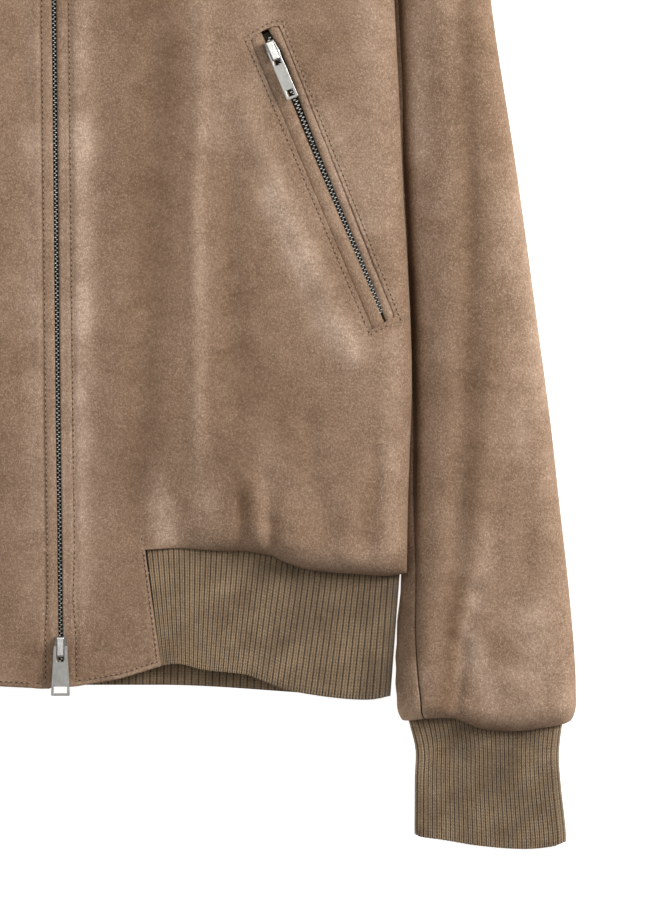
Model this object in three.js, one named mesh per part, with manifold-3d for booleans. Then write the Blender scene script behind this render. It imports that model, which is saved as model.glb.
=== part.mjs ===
import * as THREE from 'three';
import Module from 'manifold-3d';

// A zipped suede blouson lying flat on its back, in millimetres: +Z up, collar toward +Y, wearer's left
// at +X. Every height h is measured up the garment from the hem at the centre front.

// Driving dimensions of the cloth
const WALL = 1.8;
const RIB_WALL = 2.2;
const GAP = 0.3;
const RIB_RAISE = 0.6;

// Driving dimensions of the body
const BODY_LOW = 70;
const ARMPIT = { x: 201, h: 430 };
const SHOULDER = { x: 221, h: 588 };
const NECK_HALF = 76;
const NECK_TOP = 622;
const NECK_FRONT = 560;
const NECK_BACK = 612;
const SIDE_SEAM_Z = 17;
const FRONT_ROLL = 20;
const BACK_ROLL = 40;
const LINE_ROLL = 15;
const LINE_Z = 14.1;
const CENTRE_Z = 23;
const NECK_Z = 19;
const CHEST_Z = 30;
const TAB_TOP = 84.2;
const TAB_TOP_X = 52;
const TAB_LOW_X = 61.4;
const TAB_Z = 16.3;
const HEM_Z = 14.2;
const ARMHOLE_GAP = 1.6;

// Driving dimensions of the trims
const HEM_RIB = { z: 13, roll: 6.5, topX: 204.8, lowX: 199.2 };
const CUFF = { z: 10, roll: 5, lap: 2.2, underTop: -19.4, low: -91, ribs: 30, round: 8 };
const COLLAR = {
  topHalf: 70, sideTop: 668, frontTop: 606, backTop: 661, wall: 2.6, half: 50, frontColumns: 32, seamZ: 10,
  settle: 2.2,
};
const SLEEVE_END = { z: 11, round: 9, tuck: 4, low: -18 };

// Driving dimensions of the zips
const ZIP = {
  edge: 1.6, lean: -0.0099, atHem: 1.56, low: 12, waist: 176, chest: 425, top: 601,
  ridge: 1.2, base: 2.9, tape: 14, drop: 0.9, rows: 14,
};
const SLIDER_PLACE = { lower: 25, upper: 588, pocket: 0.078, across: 0.43 };
const POCKET = { lip: 3.2, lipRise: 0.4, chain: 2.2, chainRise: -0.9, sliderRise: 0.9 };

// The garment's lowest and highest heights, which set its middle
const LOWEST = -96.2;
const HIGHEST = COLLAR.sideTop;

const COLOUR = { suede: 0x9c7d66, rib: 0x77624c, metal: 0xb6b4ae, chain: 0x4a443f, tape: 0x6b5542 };

const lerp = (a, b, t) => a + (b - a) * t;
const clamp = t => Math.min(1, Math.max(0, t));
const ease = (a, b, x) => {
  const t = clamp((x - a) / (b - a));
  return t * t * (3 - 2 * t);
};
const quarter = t => (Math.PI / 2) * clamp(t);

// A table has a row for each section and a name for each column.
const table = (names, rows) => {
  const keys = names.split(' ');
  return rows.map(row => Object.fromEntries(keys.map((name, i) => [name, row[i]])));
};

// Reads one column at a place along another, on a smooth curve through the rows.
function read(rows, by, name, at) {
  const last = rows.length - 1;
  if (at <= rows[0][by]) return rows[0][name];
  if (at >= rows[last][by]) return rows[last][name];
  let i = 0;
  while (at > rows[i + 1][by]) i += 1;
  const slope = k => {
    const a = rows[Math.max(0, k - 1)];
    const b = rows[Math.min(last, k + 1)];
    return (b[name] - a[name]) / (b[by] - a[by]);
  };
  const span = rows[i + 1][by] - rows[i][by];
  const t = (at - rows[i][by]) / span;
  const t2 = t * t;
  const t3 = t2 * t;
  return (2 * t3 - 3 * t2 + 1) * rows[i][name] + (t3 - 2 * t2 + t) * span * slope(i)
    + (3 * t2 - 2 * t3) * rows[i + 1][name] + (t3 - t2) * span * slope(i + 1);
}

// Half width of the suede body up its side
const BODY_SIDE = table('h x', [
  [70, 209.4], [108, 210], [144, 211.2], [180, 212.4], [216, 211.8], [252, 210], [306, 207], [360, 204.6],
  [414, 201.9], [430, 201],
]);

// Lower edge of the suede where it laps the hem rib
const SUEDE_LINE = table('x h', [
  [52, 84.2], [72, 84.8], [101, 83], [109, 83.4], [128, 80.4], [134, 77.4], [147, 72.7], [163, 70.4],
  [181, 69.3], [198, 68.2], [209.4, 70],
]);

// Lower edge of the front, suede tab and rib together, which lifts beside the tab
const FRONT_HEM = table('x h', [
  [0, 0.6], [13, 2.4], [37, 6.6], [61, 14], [72, 15.4], [87, 11.9], [112, 9], [122, 5.6], [136, 0],
  [163, -4.7], [186, -6.2], [200, -4],
]);
const RIGHT_LIFT = 0.3;

// Sleeve sections from the armhole to the cuff: inner and outer fold, thickness, heights of the two
// folds above the floor, and how far the top takes to rise from each
const SLEEVE = table('v ix ih ox oh thick inZ outZ inRun outRun', [
  [0.00, 201, 430, 221, 588, 23, 16.5, 14, 30, 30],
  [0.05, 203, 423, 236, 560, 25, 11, 12, 35, 28],
  [0.12, 200, 412, 247.5, 520, 26, 7, 11, 42, 26],
  [0.20, 199, 395, 255, 465, 27, 3.8, 11, 44, 24],
  [0.29, 199.5, 365, 261.6, 403, 27, 3, 11, 44, 24],
  [0.39, 199.5, 325, 273.6, 325, 27, 3, 11, 44, 24],
  [0.48, 202.4, 270, 281.4, 270, 27, 3, 11, 40, 24],
  [0.57, 204.7, 216, 288.6, 216, 27, 3, 11, 38, 24],
  [0.66, 206, 160, 296, 160, 27, 3, 11, 34, 24],
  [0.74, 205.8, 110, 301.5, 110, 26.5, 3, 11, 30, 24],
  [0.81, 205.8, 70, 306, 70, 26, 3, 11, 26, 24],
  [0.87, 203.2, 35, 309.3, 35, 26, 3.5, 11, 22, 22],
  [0.92, 202.4, 10, 311, 10, 25, 4.5, 10.5, 18, 18],
  [0.95, 203, -8, 311.4, -8, 24, 5, 10, 16, 16],
]);
const SLEEVE_SEAM = table('v from', [[0, 12], [0.3, 8], [0.7, 7], [0.8, 8.5], [0.88, 11.5], [1, 17]]);
const SLEEVE_LINE = table('x h', [
  [203, -17], [207, -19], [223, -17.6], [238, -17.6], [244, -19.8], [253, -23.4], [268, -25.2], [283, -24.6],
  [294, -22.8], [304, -21], [309, -19], [312, -17],
]);

// Cuff sides and lower edge
const CUFF_SIDE = table('h inner outer', [
  [-96, 214.4, 305.2], [-85, 214.4, 305], [-54, 214.6, 301.7], [-37, 215, 300.9], [-19, 210.8, 303],
]);
const CUFF_LOW = table('x h', [
  [214, -87], [218, -88.8], [231, -90.6], [253, -94.2], [279, -96.2], [296, -94.8], [305, -91.8],
]);

// Folds in the planform: a soft line from one point to another, its half width and its height
const FOLDS = {
  left: table('x0 h0 x1 h1 wide high', [
    [58, 395, 55, 230, 13, -2.4], [55, 230, 44, 95, 10, -2.6], [88, 408, 82, 294, 5, 1.6],
    [82, 294, 84, 140, 5, 1.8], [109, 354, 136, 294, 8, 2.2], [136, 294, 157, 246, 10, 3],
    [157, 246, 176, 202, 9, 2.8], [102, 310, 107, 170, 10, -1.9], [13, 540, 13, 200, 7, 1.6],
    [61, 128, 60, 92, 5, 1.7], [85, 124, 85, 96, 6, 1.5], [109, 112, 110, 84, 4, -2.2],
    [127, 112, 128, 78, 4, -3.2], [121, 124, 120, 100, 4, 1.4], [176, 108, 173, 80, 6, 1.7],
    [190, 140, 186, 86, 6, -2.4], [150, 160, 158, 100, 8, -1.6], [60, 540, 110, 430, 14, -2],
    [150, 560, 190, 450, 12, -2.2],
  ]),
  right: table('x0 h0 x1 h1 wide high', [
    [62, 390, 58, 240, 13, -2.2], [58, 240, 50, 100, 10, -2.4], [92, 400, 88, 290, 5, 1.6],
    [88, 290, 90, 150, 5, 1.6], [111, 350, 138, 290, 8, 2.2], [138, 290, 176, 204, 10, 2.8],
    [106, 300, 112, 180, 10, -1.8], [11, 540, 10, 200, 7, 1.2], [66, 126, 66, 94, 5, 1.6],
    [92, 122, 92, 96, 6, 1.5], [117, 112, 118, 82, 4, -2.6], [140, 110, 140, 76, 4, -2.8],
    [129, 120, 129, 98, 4, 1.4], [170, 108, 168, 80, 6, 1.7], [184, 136, 181, 86, 6, -2.2],
    [66, 540, 116, 430, 14, -2], [154, 560, 192, 450, 12, -2.2],
  ]),
  sleeve: table('x0 h0 x1 h1 wide high', [
    [243, 420, 246, 250, 7, -2.4], [246, 250, 238, 80, 7, -2.2], [251, 58, 243, 28, 6, -3],
    [243, 28, 238, -12, 5, -4], [262, 206, 253, 114, 8, 2], [253, 114, 248, 30, 8, 2.2],
    [283, 180, 282, 70, 7, -1.8], [228, 500, 236, 440, 9, -1.8], [222, 40, 226, -6, 6, 1.4],
    [272, 4, 284, -6, 9, 1.6],
  ]),
};

function foldHeight(folds, x, h) {
  let sum = 0;
  for (const f of folds) {
    const dx = f.x1 - f.x0;
    const dh = f.h1 - f.h0;
    const t = clamp(((x - f.x0) * dx + (h - f.h0) * dh) / (dx * dx + dh * dh));
    const far = Math.hypot(x - f.x0 - dx * t, h - f.h0 - dh * t) / f.wide;
    if (far < 3) sum += f.high * Math.exp(-far * far);
  }
  return sum;
}

const sideName = side => (side > 0 ? 'left' : 'right');
const zipX = h => ZIP.atHem + ZIP.lean * h;
const frontHem = (x, side) => {
  const h = read(FRONT_HEM, 'x', 'h', x);
  return side < 0 && h > 0 ? h * RIGHT_LIFT : h;
};

// Closed meshes from surfaces

const minus = (a, b) => [a[0] - b[0], a[1] - b[1], a[2] - b[2]];
const plus = (a, b, k) => [a[0] + b[0] * k, a[1] + b[1] * k, a[2] + b[2] * k];

// The unit normal of a surface, worked out from two short steps on it.
function normalAt(surface, u, v, [u0, u1, v0, v1]) {
  const step = 5e-4;
  const du = minus(surface(Math.min(u + step, u1), v), surface(Math.max(u - step, u0), v));
  const dv = minus(surface(u, Math.min(v + step, v1)), surface(u, Math.max(v - step, v0)));
  const n = [du[1] * dv[2] - du[2] * dv[1], du[2] * dv[0] - du[0] * dv[2], du[0] * dv[1] - du[1] * dv[0]];
  const size = Math.hypot(...n) || 1;
  return n.map(c => c / size);
}

// A wall of cloth over the cells of a grid. us and vs are the grid's lines, raise lifts the outer face,
// keep says which cells exist, and ring joins the last column to the first.
function wall(surface, us, vs, options = {}) {
  const { thick = WALL, raise = () => 0, keep = () => true, side = 1, ring = false } = options;
  const range = [us[0], us.at(-1), vs[0], vs.at(-1)];
  const columns = ring ? us.length - 1 : us.length;
  const cells = us.length - 1;
  const points = [];
  const index = new Map();
  const corner = (i, j, layer) => {
    const column = i % columns;
    const key = (column * vs.length + j) * 2 + layer;
    if (!index.has(key)) {
      const p = surface(us[column], vs[j]);
      const n = normalAt(surface, us[column], vs[j], range);
      const lift = layer ? -thick : raise(column, j);
      const q = plus(p, n, lift);
      index.set(key, points.length / 3);
      points.push(q[0] * side, q[1], q[2]);
    }
    return index.get(key);
  };
  const faces = [];
  const quad = (a, b, c, d) => (side > 0 ? faces.push(a, b, c, a, c, d) : faces.push(a, c, b, a, d, c));
  const has = (i, j) => {
    if (j < 0 || j >= vs.length - 1) return false;
    return (ring || (i >= 0 && i < cells)) && keep((i + cells) % cells, j);
  };
  for (let i = 0; i < cells; i += 1) {
    for (let j = 0; j < vs.length - 1; j += 1) {
      if (!has(i, j)) continue;
      const at = [[i, j], [i + 1, j], [i + 1, j + 1], [i, j + 1]];
      const out = at.map(([a, b]) => corner(a, b, 0));
      const inn = at.map(([a, b]) => corner(a, b, 1));
      quad(...out);
      quad(inn[3], inn[2], inn[1], inn[0]);
      [[i, j - 1], [i + 1, j], [i, j + 1], [i - 1, j]].forEach(([a, b], k) => {
        const m = (k + 1) % 4;
        if (!has(a, b)) quad(out[k], inn[k], inn[m], out[m]);
      });
    }
  }
  const geometry = new THREE.BufferGeometry();
  geometry.setAttribute('position', new THREE.Float32BufferAttribute(points, 3));
  geometry.setIndex(faces);
  return geometry;
}

const steps = (from, to, n) => Array.from({ length: n + 1 }, (_, i) => lerp(from, to, i / n));
const joined = (...lists) => lists.flatMap((list, i) => (i ? list.slice(1) : list));

const wasm = await Module();
wasm.setup();

function solidOf(geometry) {
  const position = geometry.attributes.position;
  const seen = new Map();
  const vertProperties = [];
  const triVerts = [];
  const order = geometry.index ? Array.from(geometry.index.array) : [...Array(position.count).keys()];
  for (const i of order) {
    const p = [position.getX(i), position.getY(i), position.getZ(i)];
    const key = p.map(c => Math.round(c * 1e4) || 0).join();
    if (!seen.has(key)) {
      seen.set(key, vertProperties.length / 3);
      vertProperties.push(...p);
    }
    triVerts.push(seen.get(key));
  }
  const mesh = new wasm.Mesh({
    numProp: 3, vertProperties: new Float32Array(vertProperties), triVerts: new Uint32Array(triVerts),
  });
  return new wasm.Manifold(mesh);
}

function geometryOf(solid) {
  const mesh = solid.getMesh();
  const geometry = new THREE.BufferGeometry();
  geometry.setAttribute('position', new THREE.BufferAttribute(new Float32Array(mesh.vertProperties), 3));
  geometry.setIndex(new THREE.BufferAttribute(new Uint32Array(mesh.triVerts), 1));
  return geometry;
}

// Body

const TAB_SHARE = 0.24;
const FRONT_U = { tab: 0.3, flat: 0.8 };
const FRONT_V = { low: 0.08, high: 0.92 };
const ARMPIT_B = 0.694;
const HPS_A = 0.36;

// Side edge of the body in the planform, from the lower corner up to the armpit and the shoulder point
function sidePoint(b) {
  if (b <= ARMPIT_B) {
    const h = lerp(BODY_LOW, ARMPIT.h, b / ARMPIT_B);
    return [read(BODY_SIDE, 'h', 'x', h), h];
  }
  return armholePoint((b - ARMPIT_B) / (1 - ARMPIT_B));
}

// Armhole seam in the planform, straight from the armpit to the shoulder point
function armholePoint(s) {
  return [lerp(ARMPIT.x, SHOULDER.x, s), lerp(ARMPIT.h, SHOULDER.h, s)];
}

// Neck and shoulder edge: an arc up to the neck point, then a straight slope
function topPoint(a, arcLow, startX = 0) {
  if (a < HPS_A) {
    const turn = quarter(a / HPS_A);
    return [lerp(startX, NECK_HALF, Math.sin(turn)), NECK_TOP - (NECK_TOP - arcLow) * Math.cos(turn)];
  }
  const t = (a - HPS_A) / (1 - HPS_A);
  return [lerp(NECK_HALF, SHOULDER.x, t), lerp(NECK_TOP, SHOULDER.h, t)];
}

// A planform stretched between its four edges
function planform(a, b, low, top, left, right) {
  const L = left(b);
  const R = right(b);
  const B = low(a);
  const T = top(a);
  const corners = [low(0), low(1), top(0), top(1)];
  return [0, 1].map(k => (1 - a) * L[k] + a * R[k] + (1 - b) * B[k] + b * T[k]
    - (1 - a) * (1 - b) * corners[0][k] - a * (1 - b) * corners[1][k]
    - (1 - a) * b * corners[2][k] - a * b * corners[3][k]);
}

// Heights of the sleeve's top and underside over the line from its inner fold to its outer fold
function sleeveTop(v, s, length) {
  const col = name => read(SLEEVE, 'v', name, v);
  const q = clamp((s * length) / col('inRun'));
  const rise = 0.6 * Math.sin(quarter(q)) + 0.4 * Math.sqrt(1 - (1 - q) ** 2);
  const z = lerp(col('inZ'), col('thick'), rise);
  const w = clamp(((1 - s) * length) / col('outRun'));
  return lerp(col('outZ'), z, Math.sqrt(1 - (1 - w) ** 2));
}

const UNDER_ROUND = { inner: 6, outer: 12, armhole: 26 };
function sleeveUnder(v, s, length) {
  const near = 1 - ease(0, 0.14, v);
  const inner = lerp(UNDER_ROUND.inner, UNDER_ROUND.armhole, near);
  const outer = lerp(UNDER_ROUND.outer, UNDER_ROUND.armhole, near);
  const a = 1 - clamp((s * length) / inner);
  const b = 1 - clamp(((1 - s) * length) / outer);
  const col = name => read(SLEEVE, 'v', name, v);
  return col('inZ') * (1 - Math.sqrt(1 - a * a)) + col('outZ') * (1 - Math.sqrt(1 - b * b));
}

const ARMHOLE_LENGTH = Math.hypot(SHOULDER.x - ARMPIT.x, SHOULDER.h - ARMPIT.h);
const SHOULDER_Z = { neck: 10, tip: 14 };
const shoulderZ = a => lerp(SHOULDER_Z.neck, SHOULDER_Z.tip, clamp((a - HPS_A) / (1 - HPS_A)));

// Height of the front over the planform, before it turns down at its edges
function frontHeight(x, h, side) {
  const crown = lerp(CENTRE_Z, CHEST_Z, ease(5, 80, x)) - 4 * ease(400, 520, h);
  const sag = (1 - ease(80, 175, h)) * (1 - ease(58, 125, x));
  const settled = lerp(crown, TAB_Z, sag) + foldHeight(FOLDS[sideName(side)], x, h) * (1 - 0.6 * sag);
  return h < TAB_TOP ? settled - (TAB_Z - HEM_Z) * clamp(1 - h / TAB_TOP) : settled;
}

function frontSurface(side) {
  const edge = h => zipX(h) * side + ZIP.edge;
  const low = a => {
    const x = lerp(edge(TAB_TOP), BODY_SIDE[0].x, a);
    return [x, read(SUEDE_LINE, 'x', 'h', x)];
  };
  const top = a => topPoint(a, NECK_FRONT, edge(NECK_FRONT));
  const left = b => {
    const h = lerp(TAB_TOP, NECK_FRONT, b);
    return [edge(h), h];
  };
  return (u, v) => {
    const b0 = clamp(v);
    const above = ease(ARMPIT_B - 0.03, ARMPIT_B + 0.03, b0);
    const width = lerp(208, 215, b0);
    const roll = lerp(FRONT_ROLL, 5, above) / width;
    const turn = quarter((u - FRONT_U.flat) / (1 - FRONT_U.flat));
    let a;
    const { tab, flat } = FRONT_U;
    if (u < tab) a = (u / tab) * TAB_SHARE;
    else if (u < flat) a = lerp(TAB_SHARE, 1 - roll, (u - tab) / (flat - tab));
    else a = 1 - roll * (1 - Math.sin(turn));
    const length = 500;
    const topRoll = lerp(4, 14, ease(HPS_A - 0.08, HPS_A + 0.12, a)) / length;
    const lowRoll = LINE_ROLL / length;
    const down = quarter((FRONT_V.low - v) / FRONT_V.low);
    const up = quarter((v - FRONT_V.high) / (1 - FRONT_V.high));
    let b;
    if (v < FRONT_V.low) b = lowRoll * (1 - Math.sin(down));
    else if (v < FRONT_V.high) {
      b = lerp(lowRoll, 1 - topRoll, (v - FRONT_V.low) / (FRONT_V.high - FRONT_V.low));
    } else b = 1 - topRoll * (1 - Math.sin(up));
    if (v < 0) b = 0;
    let [x, h] = planform(a, b, low, top, left, sidePoint);
    if (v < 0) {
      x = lerp(x, lerp(edge(0), TAB_LOW_X, a / TAB_SHARE), -v);
      h = lerp(h, frontHem(x, side), -v);
    }
    const open = frontHeight(x, h, side);
    const s = clamp((b - ARMPIT_B) / (1 - ARMPIT_B));
    const sideZ = b > ARMPIT_B ? sleeveTop(0, s, ARMHOLE_LENGTH) : SIDE_SEAM_Z;
    let z = lerp(sideZ, open, Math.cos(turn));
    if (v >= 0 && v < FRONT_V.low) {
      const rolled = ease(TAB_TOP_X + 20, TAB_TOP_X + 55, x);
      z = lerp(lerp(TAB_Z, LINE_Z, rolled), z, Math.cos(down));
    }
    if (v > FRONT_V.high) {
      const edgeZ = a < HPS_A ? 10 + (NECK_Z - 10) * Math.cos(quarter(a / HPS_A)) : shoulderZ(a);
      z = lerp(edgeZ, z, Math.cos(up));
    }
    return [x, h, z];
  };
}

// The pocket's window in the planform: its four corners, lower lip side first
const WINDOW = {
  topLeft: [115.2, 389.2], topRight: [133, 397.8], lowRight: [202.2, 223.8], lowLeft: [188.4, 216],
};
const TOP_BOW = 3;

// A point in the window, by shares across it and down it
function windowPoint(across, down) {
  const { topLeft, topRight, lowRight, lowLeft } = WINDOW;
  const bow = TOP_BOW * 4 * across * (1 - across) * (1 - down);
  const mix = k => lerp(lerp(topLeft[k], topRight[k], across), lerp(lowLeft[k], lowRight[k], across), down);
  return [mix(0) + bow * 0.3, mix(1) + bow];
}

function windowCutter(side) {
  const shape = new THREE.Shape();
  const ring = [...steps(0, 1, 4).map(t => windowPoint(t, 0)), windowPoint(1, 1), windowPoint(0, 1)];
  ring.forEach(([x, h], i) => (i ? shape.lineTo(x * side, h) : shape.moveTo(x * side, h)));
  return new THREE.ExtrudeGeometry(shape, { depth: 60, bevelEnabled: false });
}

function front(side) {
  const tabColumns = 4;
  const tabRows = 2;
  const { tab, flat } = FRONT_U;
  const { low, high } = FRONT_V;
  const us = joined(steps(0, tab, tabColumns), steps(tab, flat, 10), steps(flat, 1, 4));
  const vs = joined(steps(-1, 0, tabRows), steps(0, low, 3), steps(low, high, 17), steps(high, 1, 3));
  const keep = (i, j) => j >= tabRows || i < tabColumns;
  const sheet = wall(frontSurface(side), us, vs, { keep, side });
  return geometryOf(solidOf(sheet).subtract(solidOf(windowCutter(side))));
}

const BACK_U = 0.72;
const BACK_ROLL_HIGH = 26;
const BACK_TOP_ROLL = 22 / 520;
function backSurface(u, v) {
  const side = u < 0 ? -1 : 1;
  const w = Math.abs(u);
  const b0 = clamp(v);
  const above = ease(ARMPIT_B - 0.05, ARMPIT_B + 0.05, b0);
  const roll = lerp(BACK_ROLL, BACK_ROLL_HIGH, above) / SHOULDER.x;
  const turn = quarter((w - BACK_U) / (1 - BACK_U));
  const a = w < BACK_U ? (w / BACK_U) * (1 - roll) : 1 - roll * (1 - Math.sin(turn));
  const up = quarter((v - FRONT_V.high) / (1 - FRONT_V.high));
  const open = 1 - BACK_TOP_ROLL;
  const b = v < FRONT_V.high ? (v / FRONT_V.high) * open : 1 - BACK_TOP_ROLL * (1 - Math.sin(up));
  const low = t => [t * BODY_SIDE[0].x, BODY_LOW];
  const top = t => topPoint(t, NECK_BACK);
  const middle = t => [0, lerp(BODY_LOW, NECK_BACK, t)];
  const [x, h] = planform(a, b, low, top, middle, sidePoint);
  const s = clamp((b - ARMPIT_B) / (1 - ARMPIT_B));
  const corner = lerp(LINE_Z - 1, SIDE_SEAM_Z, ease(0, 0.05, b));
  const sideZ = (b > ARMPIT_B ? sleeveUnder(0, s, ARMHOLE_LENGTH) : corner) - 0.8;
  let z = Math.max(0, sideZ) * (1 - Math.cos(turn));
  const edgeZ = (shoulderZ(a) - 1.2) * ease(HPS_A - 0.2, HPS_A, a);
  z = lerp(Math.max(z, edgeZ), z, Math.cos(up));
  return [x * side, h, z];
}

function back() {
  const us = joined(steps(-1, -BACK_U, 4), steps(-BACK_U, BACK_U, 14), steps(BACK_U, 1, 4));
  const vs = joined([0, 0.04], steps(0.04, FRONT_V.high, 13), steps(FRONT_V.high, 1, 3));
  return wall((u, v) => backSurface(-u, v), us, vs);
}

// Sleeves

// A ring of the sleeve: t runs over the top from the inner fold (0) to the outer fold (1), then back
// along the floor to the inner fold (2). v runs from armhole to cuff.
function sleeveSurface(t, v) {
  const last = SLEEVE.at(-1).v;
  const end = quarter((v - last) / (1 - last));
  const at = Math.min(v, last);
  const col = name => read(SLEEVE, 'v', name, at);
  const tuck = SLEEVE_END.tuck * (1 - Math.cos(end));
  const clear = ARMHOLE_GAP * (1 - ease(0, 0.04, at));
  const I = [col('ix') + tuck + clear, col('ih')];
  const O = [col('ox') - tuck + clear, col('oh')];
  const length = Math.hypot(O[0] - I[0], O[1] - I[1]);
  const over = t <= 1;
  const w = over ? t : 2 - t;
  const out = Math.max(0.2, col('outRun') / length);
  const s = w > 0.6 ? 1 - out * (1 - Math.sin(quarter((w - 0.6) / 0.4))) : (w / 0.6) * (1 - out);
  const x = lerp(I[0], O[0], s);
  let h = lerp(I[1], O[1], s);
  let z = over ? sleeveTop(at, s, length) : sleeveUnder(at, s, length);
  const middle = Math.sin(Math.PI * clamp(s)) ** 0.6;
  if (over) z += foldHeight(FOLDS.sleeve, x, h) * middle * Math.cos(end);
  if (v > last) {
    const line = over ? read(SLEEVE_LINE, 'x', 'h', x) : SLEEVE_END.low;
    h -= (h - line) * Math.sin(end);
    const fold = 0.35 * lerp(col('inZ'), col('outZ'), s);
    const near = clamp(((0.5 - Math.abs(s - 0.5)) * length) / SLEEVE_END.round);
    const rim = SLEEVE_END.z * Math.sqrt(1 - (1 - near) ** 2);
    z = over ? lerp(Math.max(rim, fold), z, Math.cos(end)) : z * lerp(0.35, 1, Math.cos(end));
  }
  return [x, h, z];
}

const SLEEVE_VS = joined(steps(0, 0.2, 4), steps(0.2, 0.95, 13), [0.95, 0.965, 0.982, 1]);
const seamT = v => {
  const col = name => read(SLEEVE, 'v', name, Math.min(v, 0.95));
  const length = Math.hypot(col('ox') - col('ix'), col('oh') - col('ih'));
  const out = Math.max(0.2, col('outRun') / length);
  return (0.6 * (read(SLEEVE_SEAM, 'v', 'from', v) / length)) / (1 - out);
};
const SEAM_SHARE = 0.002;
const UNDER_START = 1.09;

function sleeveUpper(side) {
  const surface = (u, v) => sleeveSurface(lerp(seamT(v) + SEAM_SHARE * 2, 1, u), v);
  const us = joined(steps(0, 0.5, 5), steps(0.5, 1, 6));
  return wall((u, v) => surface(1 - u, v), us.map(u => 1 - u).reverse(), SLEEVE_VS, { side });
}

function sleeveLower(side) {
  const surface = (u, v) => {
    const t = lerp(UNDER_START, 2 + seamT(v) - SEAM_SHARE, u);
    return sleeveSurface(t > 2 ? t - 2 : t, v);
  };
  const us = joined(steps(0, 0.3, 3), steps(0.3, 0.78, 2), steps(0.78, 1, 6));
  return wall((u, v) => surface(1 - u, v), us.map(u => 1 - u).reverse(), SLEEVE_VS, { side });
}

// Ribbed trims

const HEM_COLUMNS = { top: 88, roll: 12, under: 5 };
const HEM_LEAN = 11.5;
const BACK_LOW = { middle: 2.4, side: -4 };

// The hem band lies flat: over the top from a tab, round the side, then underneath to the middle of
// the back. Columns are counted from the left tab, and a rib stands on every second one.
function hemRib() {
  const { top: over, roll: round, under } = HEM_COLUMNS;
  const half = over + round + under;
  const { z: high, roll } = HEM_RIB;
  const surface = (u, v) => {
    const side = u < half ? 1 : -1;
    const k = u < half ? u : 2 * half - u;
    const tabTop = lerp(zipX(TAB_TOP) * side + ZIP.edge, BODY_SIDE[0].x, TAB_SHARE);
    const start = lerp(TAB_LOW_X, tabTop, v) + GAP;
    const outer = lerp(HEM_RIB.lowX, HEM_RIB.topX, v);
    const turn = Math.PI * clamp((k - over) / round);
    const level = 0.5 + 0.5 * Math.cos(turn);
    let x = lerp(outer - roll, 0, (k - over - round) / under);
    const lean = HEM_LEAN * (1 - v) * Math.sin((Math.PI * Math.min(k, over)) / over) ** 0.8;
    if (k <= over) x = lerp(start, outer - roll, k / over) - lean;
    else if (k <= over + round) x = outer - roll + roll * Math.sin(turn);
    const open = BODY_LOW - GAP;
    const top = k <= over ? Math.max(read(SUEDE_LINE, 'x', 'h', x) + GAP, open) : open;
    const lowBack = lerp(BACK_LOW.middle, BACK_LOW.side, ease(60, 190, x));
    const low = lerp(lowBack, frontHem(x, side), level);
    return [x * side, lerp(low, top, v), high * level];
  };
  const raise = column => {
    const k = column <= half ? column : half * 2 - column;
    return k > 0 && k < over + round / 2 && k % 2 ? RIB_RAISE : 0;
  };
  return wall(surface, steps(0, half * 2, half * 2), [0, 0.5, 1], { thick: RIB_WALL, raise });
}

function cuff(side) {
  const topColumns = CUFF.ribs * 2;
  const rollColumns = 8;
  const underColumns = 6;
  const total = topColumns + rollColumns * 2 + underColumns;
  const surface = (u0, v) => {
    const u = ((u0 % total) + total) % total;
    const sideAt = name => read(CUFF_SIDE, 'h', name, lerp(CUFF.low, CUFF.underTop, v));
    const inner = sideAt('inner');
    const outer = sideAt('outer');
    let x;
    let z;
    let level = 0;
    if (u <= topColumns) {
      x = lerp(inner + CUFF.roll, outer - CUFF.roll, u / topColumns);
      z = CUFF.z;
      level = 1;
    } else if (u <= topColumns + rollColumns) {
      const turn = (Math.PI * (u - topColumns)) / rollColumns;
      x = outer - CUFF.roll + CUFF.roll * Math.sin(turn);
      z = (CUFF.z / 2) * (1 + Math.cos(turn));
    } else if (u <= topColumns + rollColumns + underColumns) {
      x = lerp(outer - CUFF.roll, inner + CUFF.roll, (u - topColumns - rollColumns) / underColumns);
      z = 0;
    } else {
      const turn = (Math.PI * (total - u)) / rollColumns;
      x = inner + CUFF.roll - CUFF.roll * Math.sin(turn);
      z = (CUFF.z / 2) * (1 + Math.cos(turn));
    }
    const inside = ease(0, CUFF.round, Math.min(x - inner - CUFF.roll, outer - CUFF.roll - x)) * level;
    const top = lerp(CUFF.underTop, read(SLEEVE_LINE, 'x', 'h', x) + CUFF.lap, inside);
    return [x, lerp(read(CUFF_LOW, 'x', 'h', x), top, v), z];
  };
  const raise = column => (column < topColumns && column % 2 ? RIB_RAISE : 0);
  return wall(surface, steps(0, total, total), [0, 0.5, 1], { thick: RIB_WALL, raise, ring: true, side });
}

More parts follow.
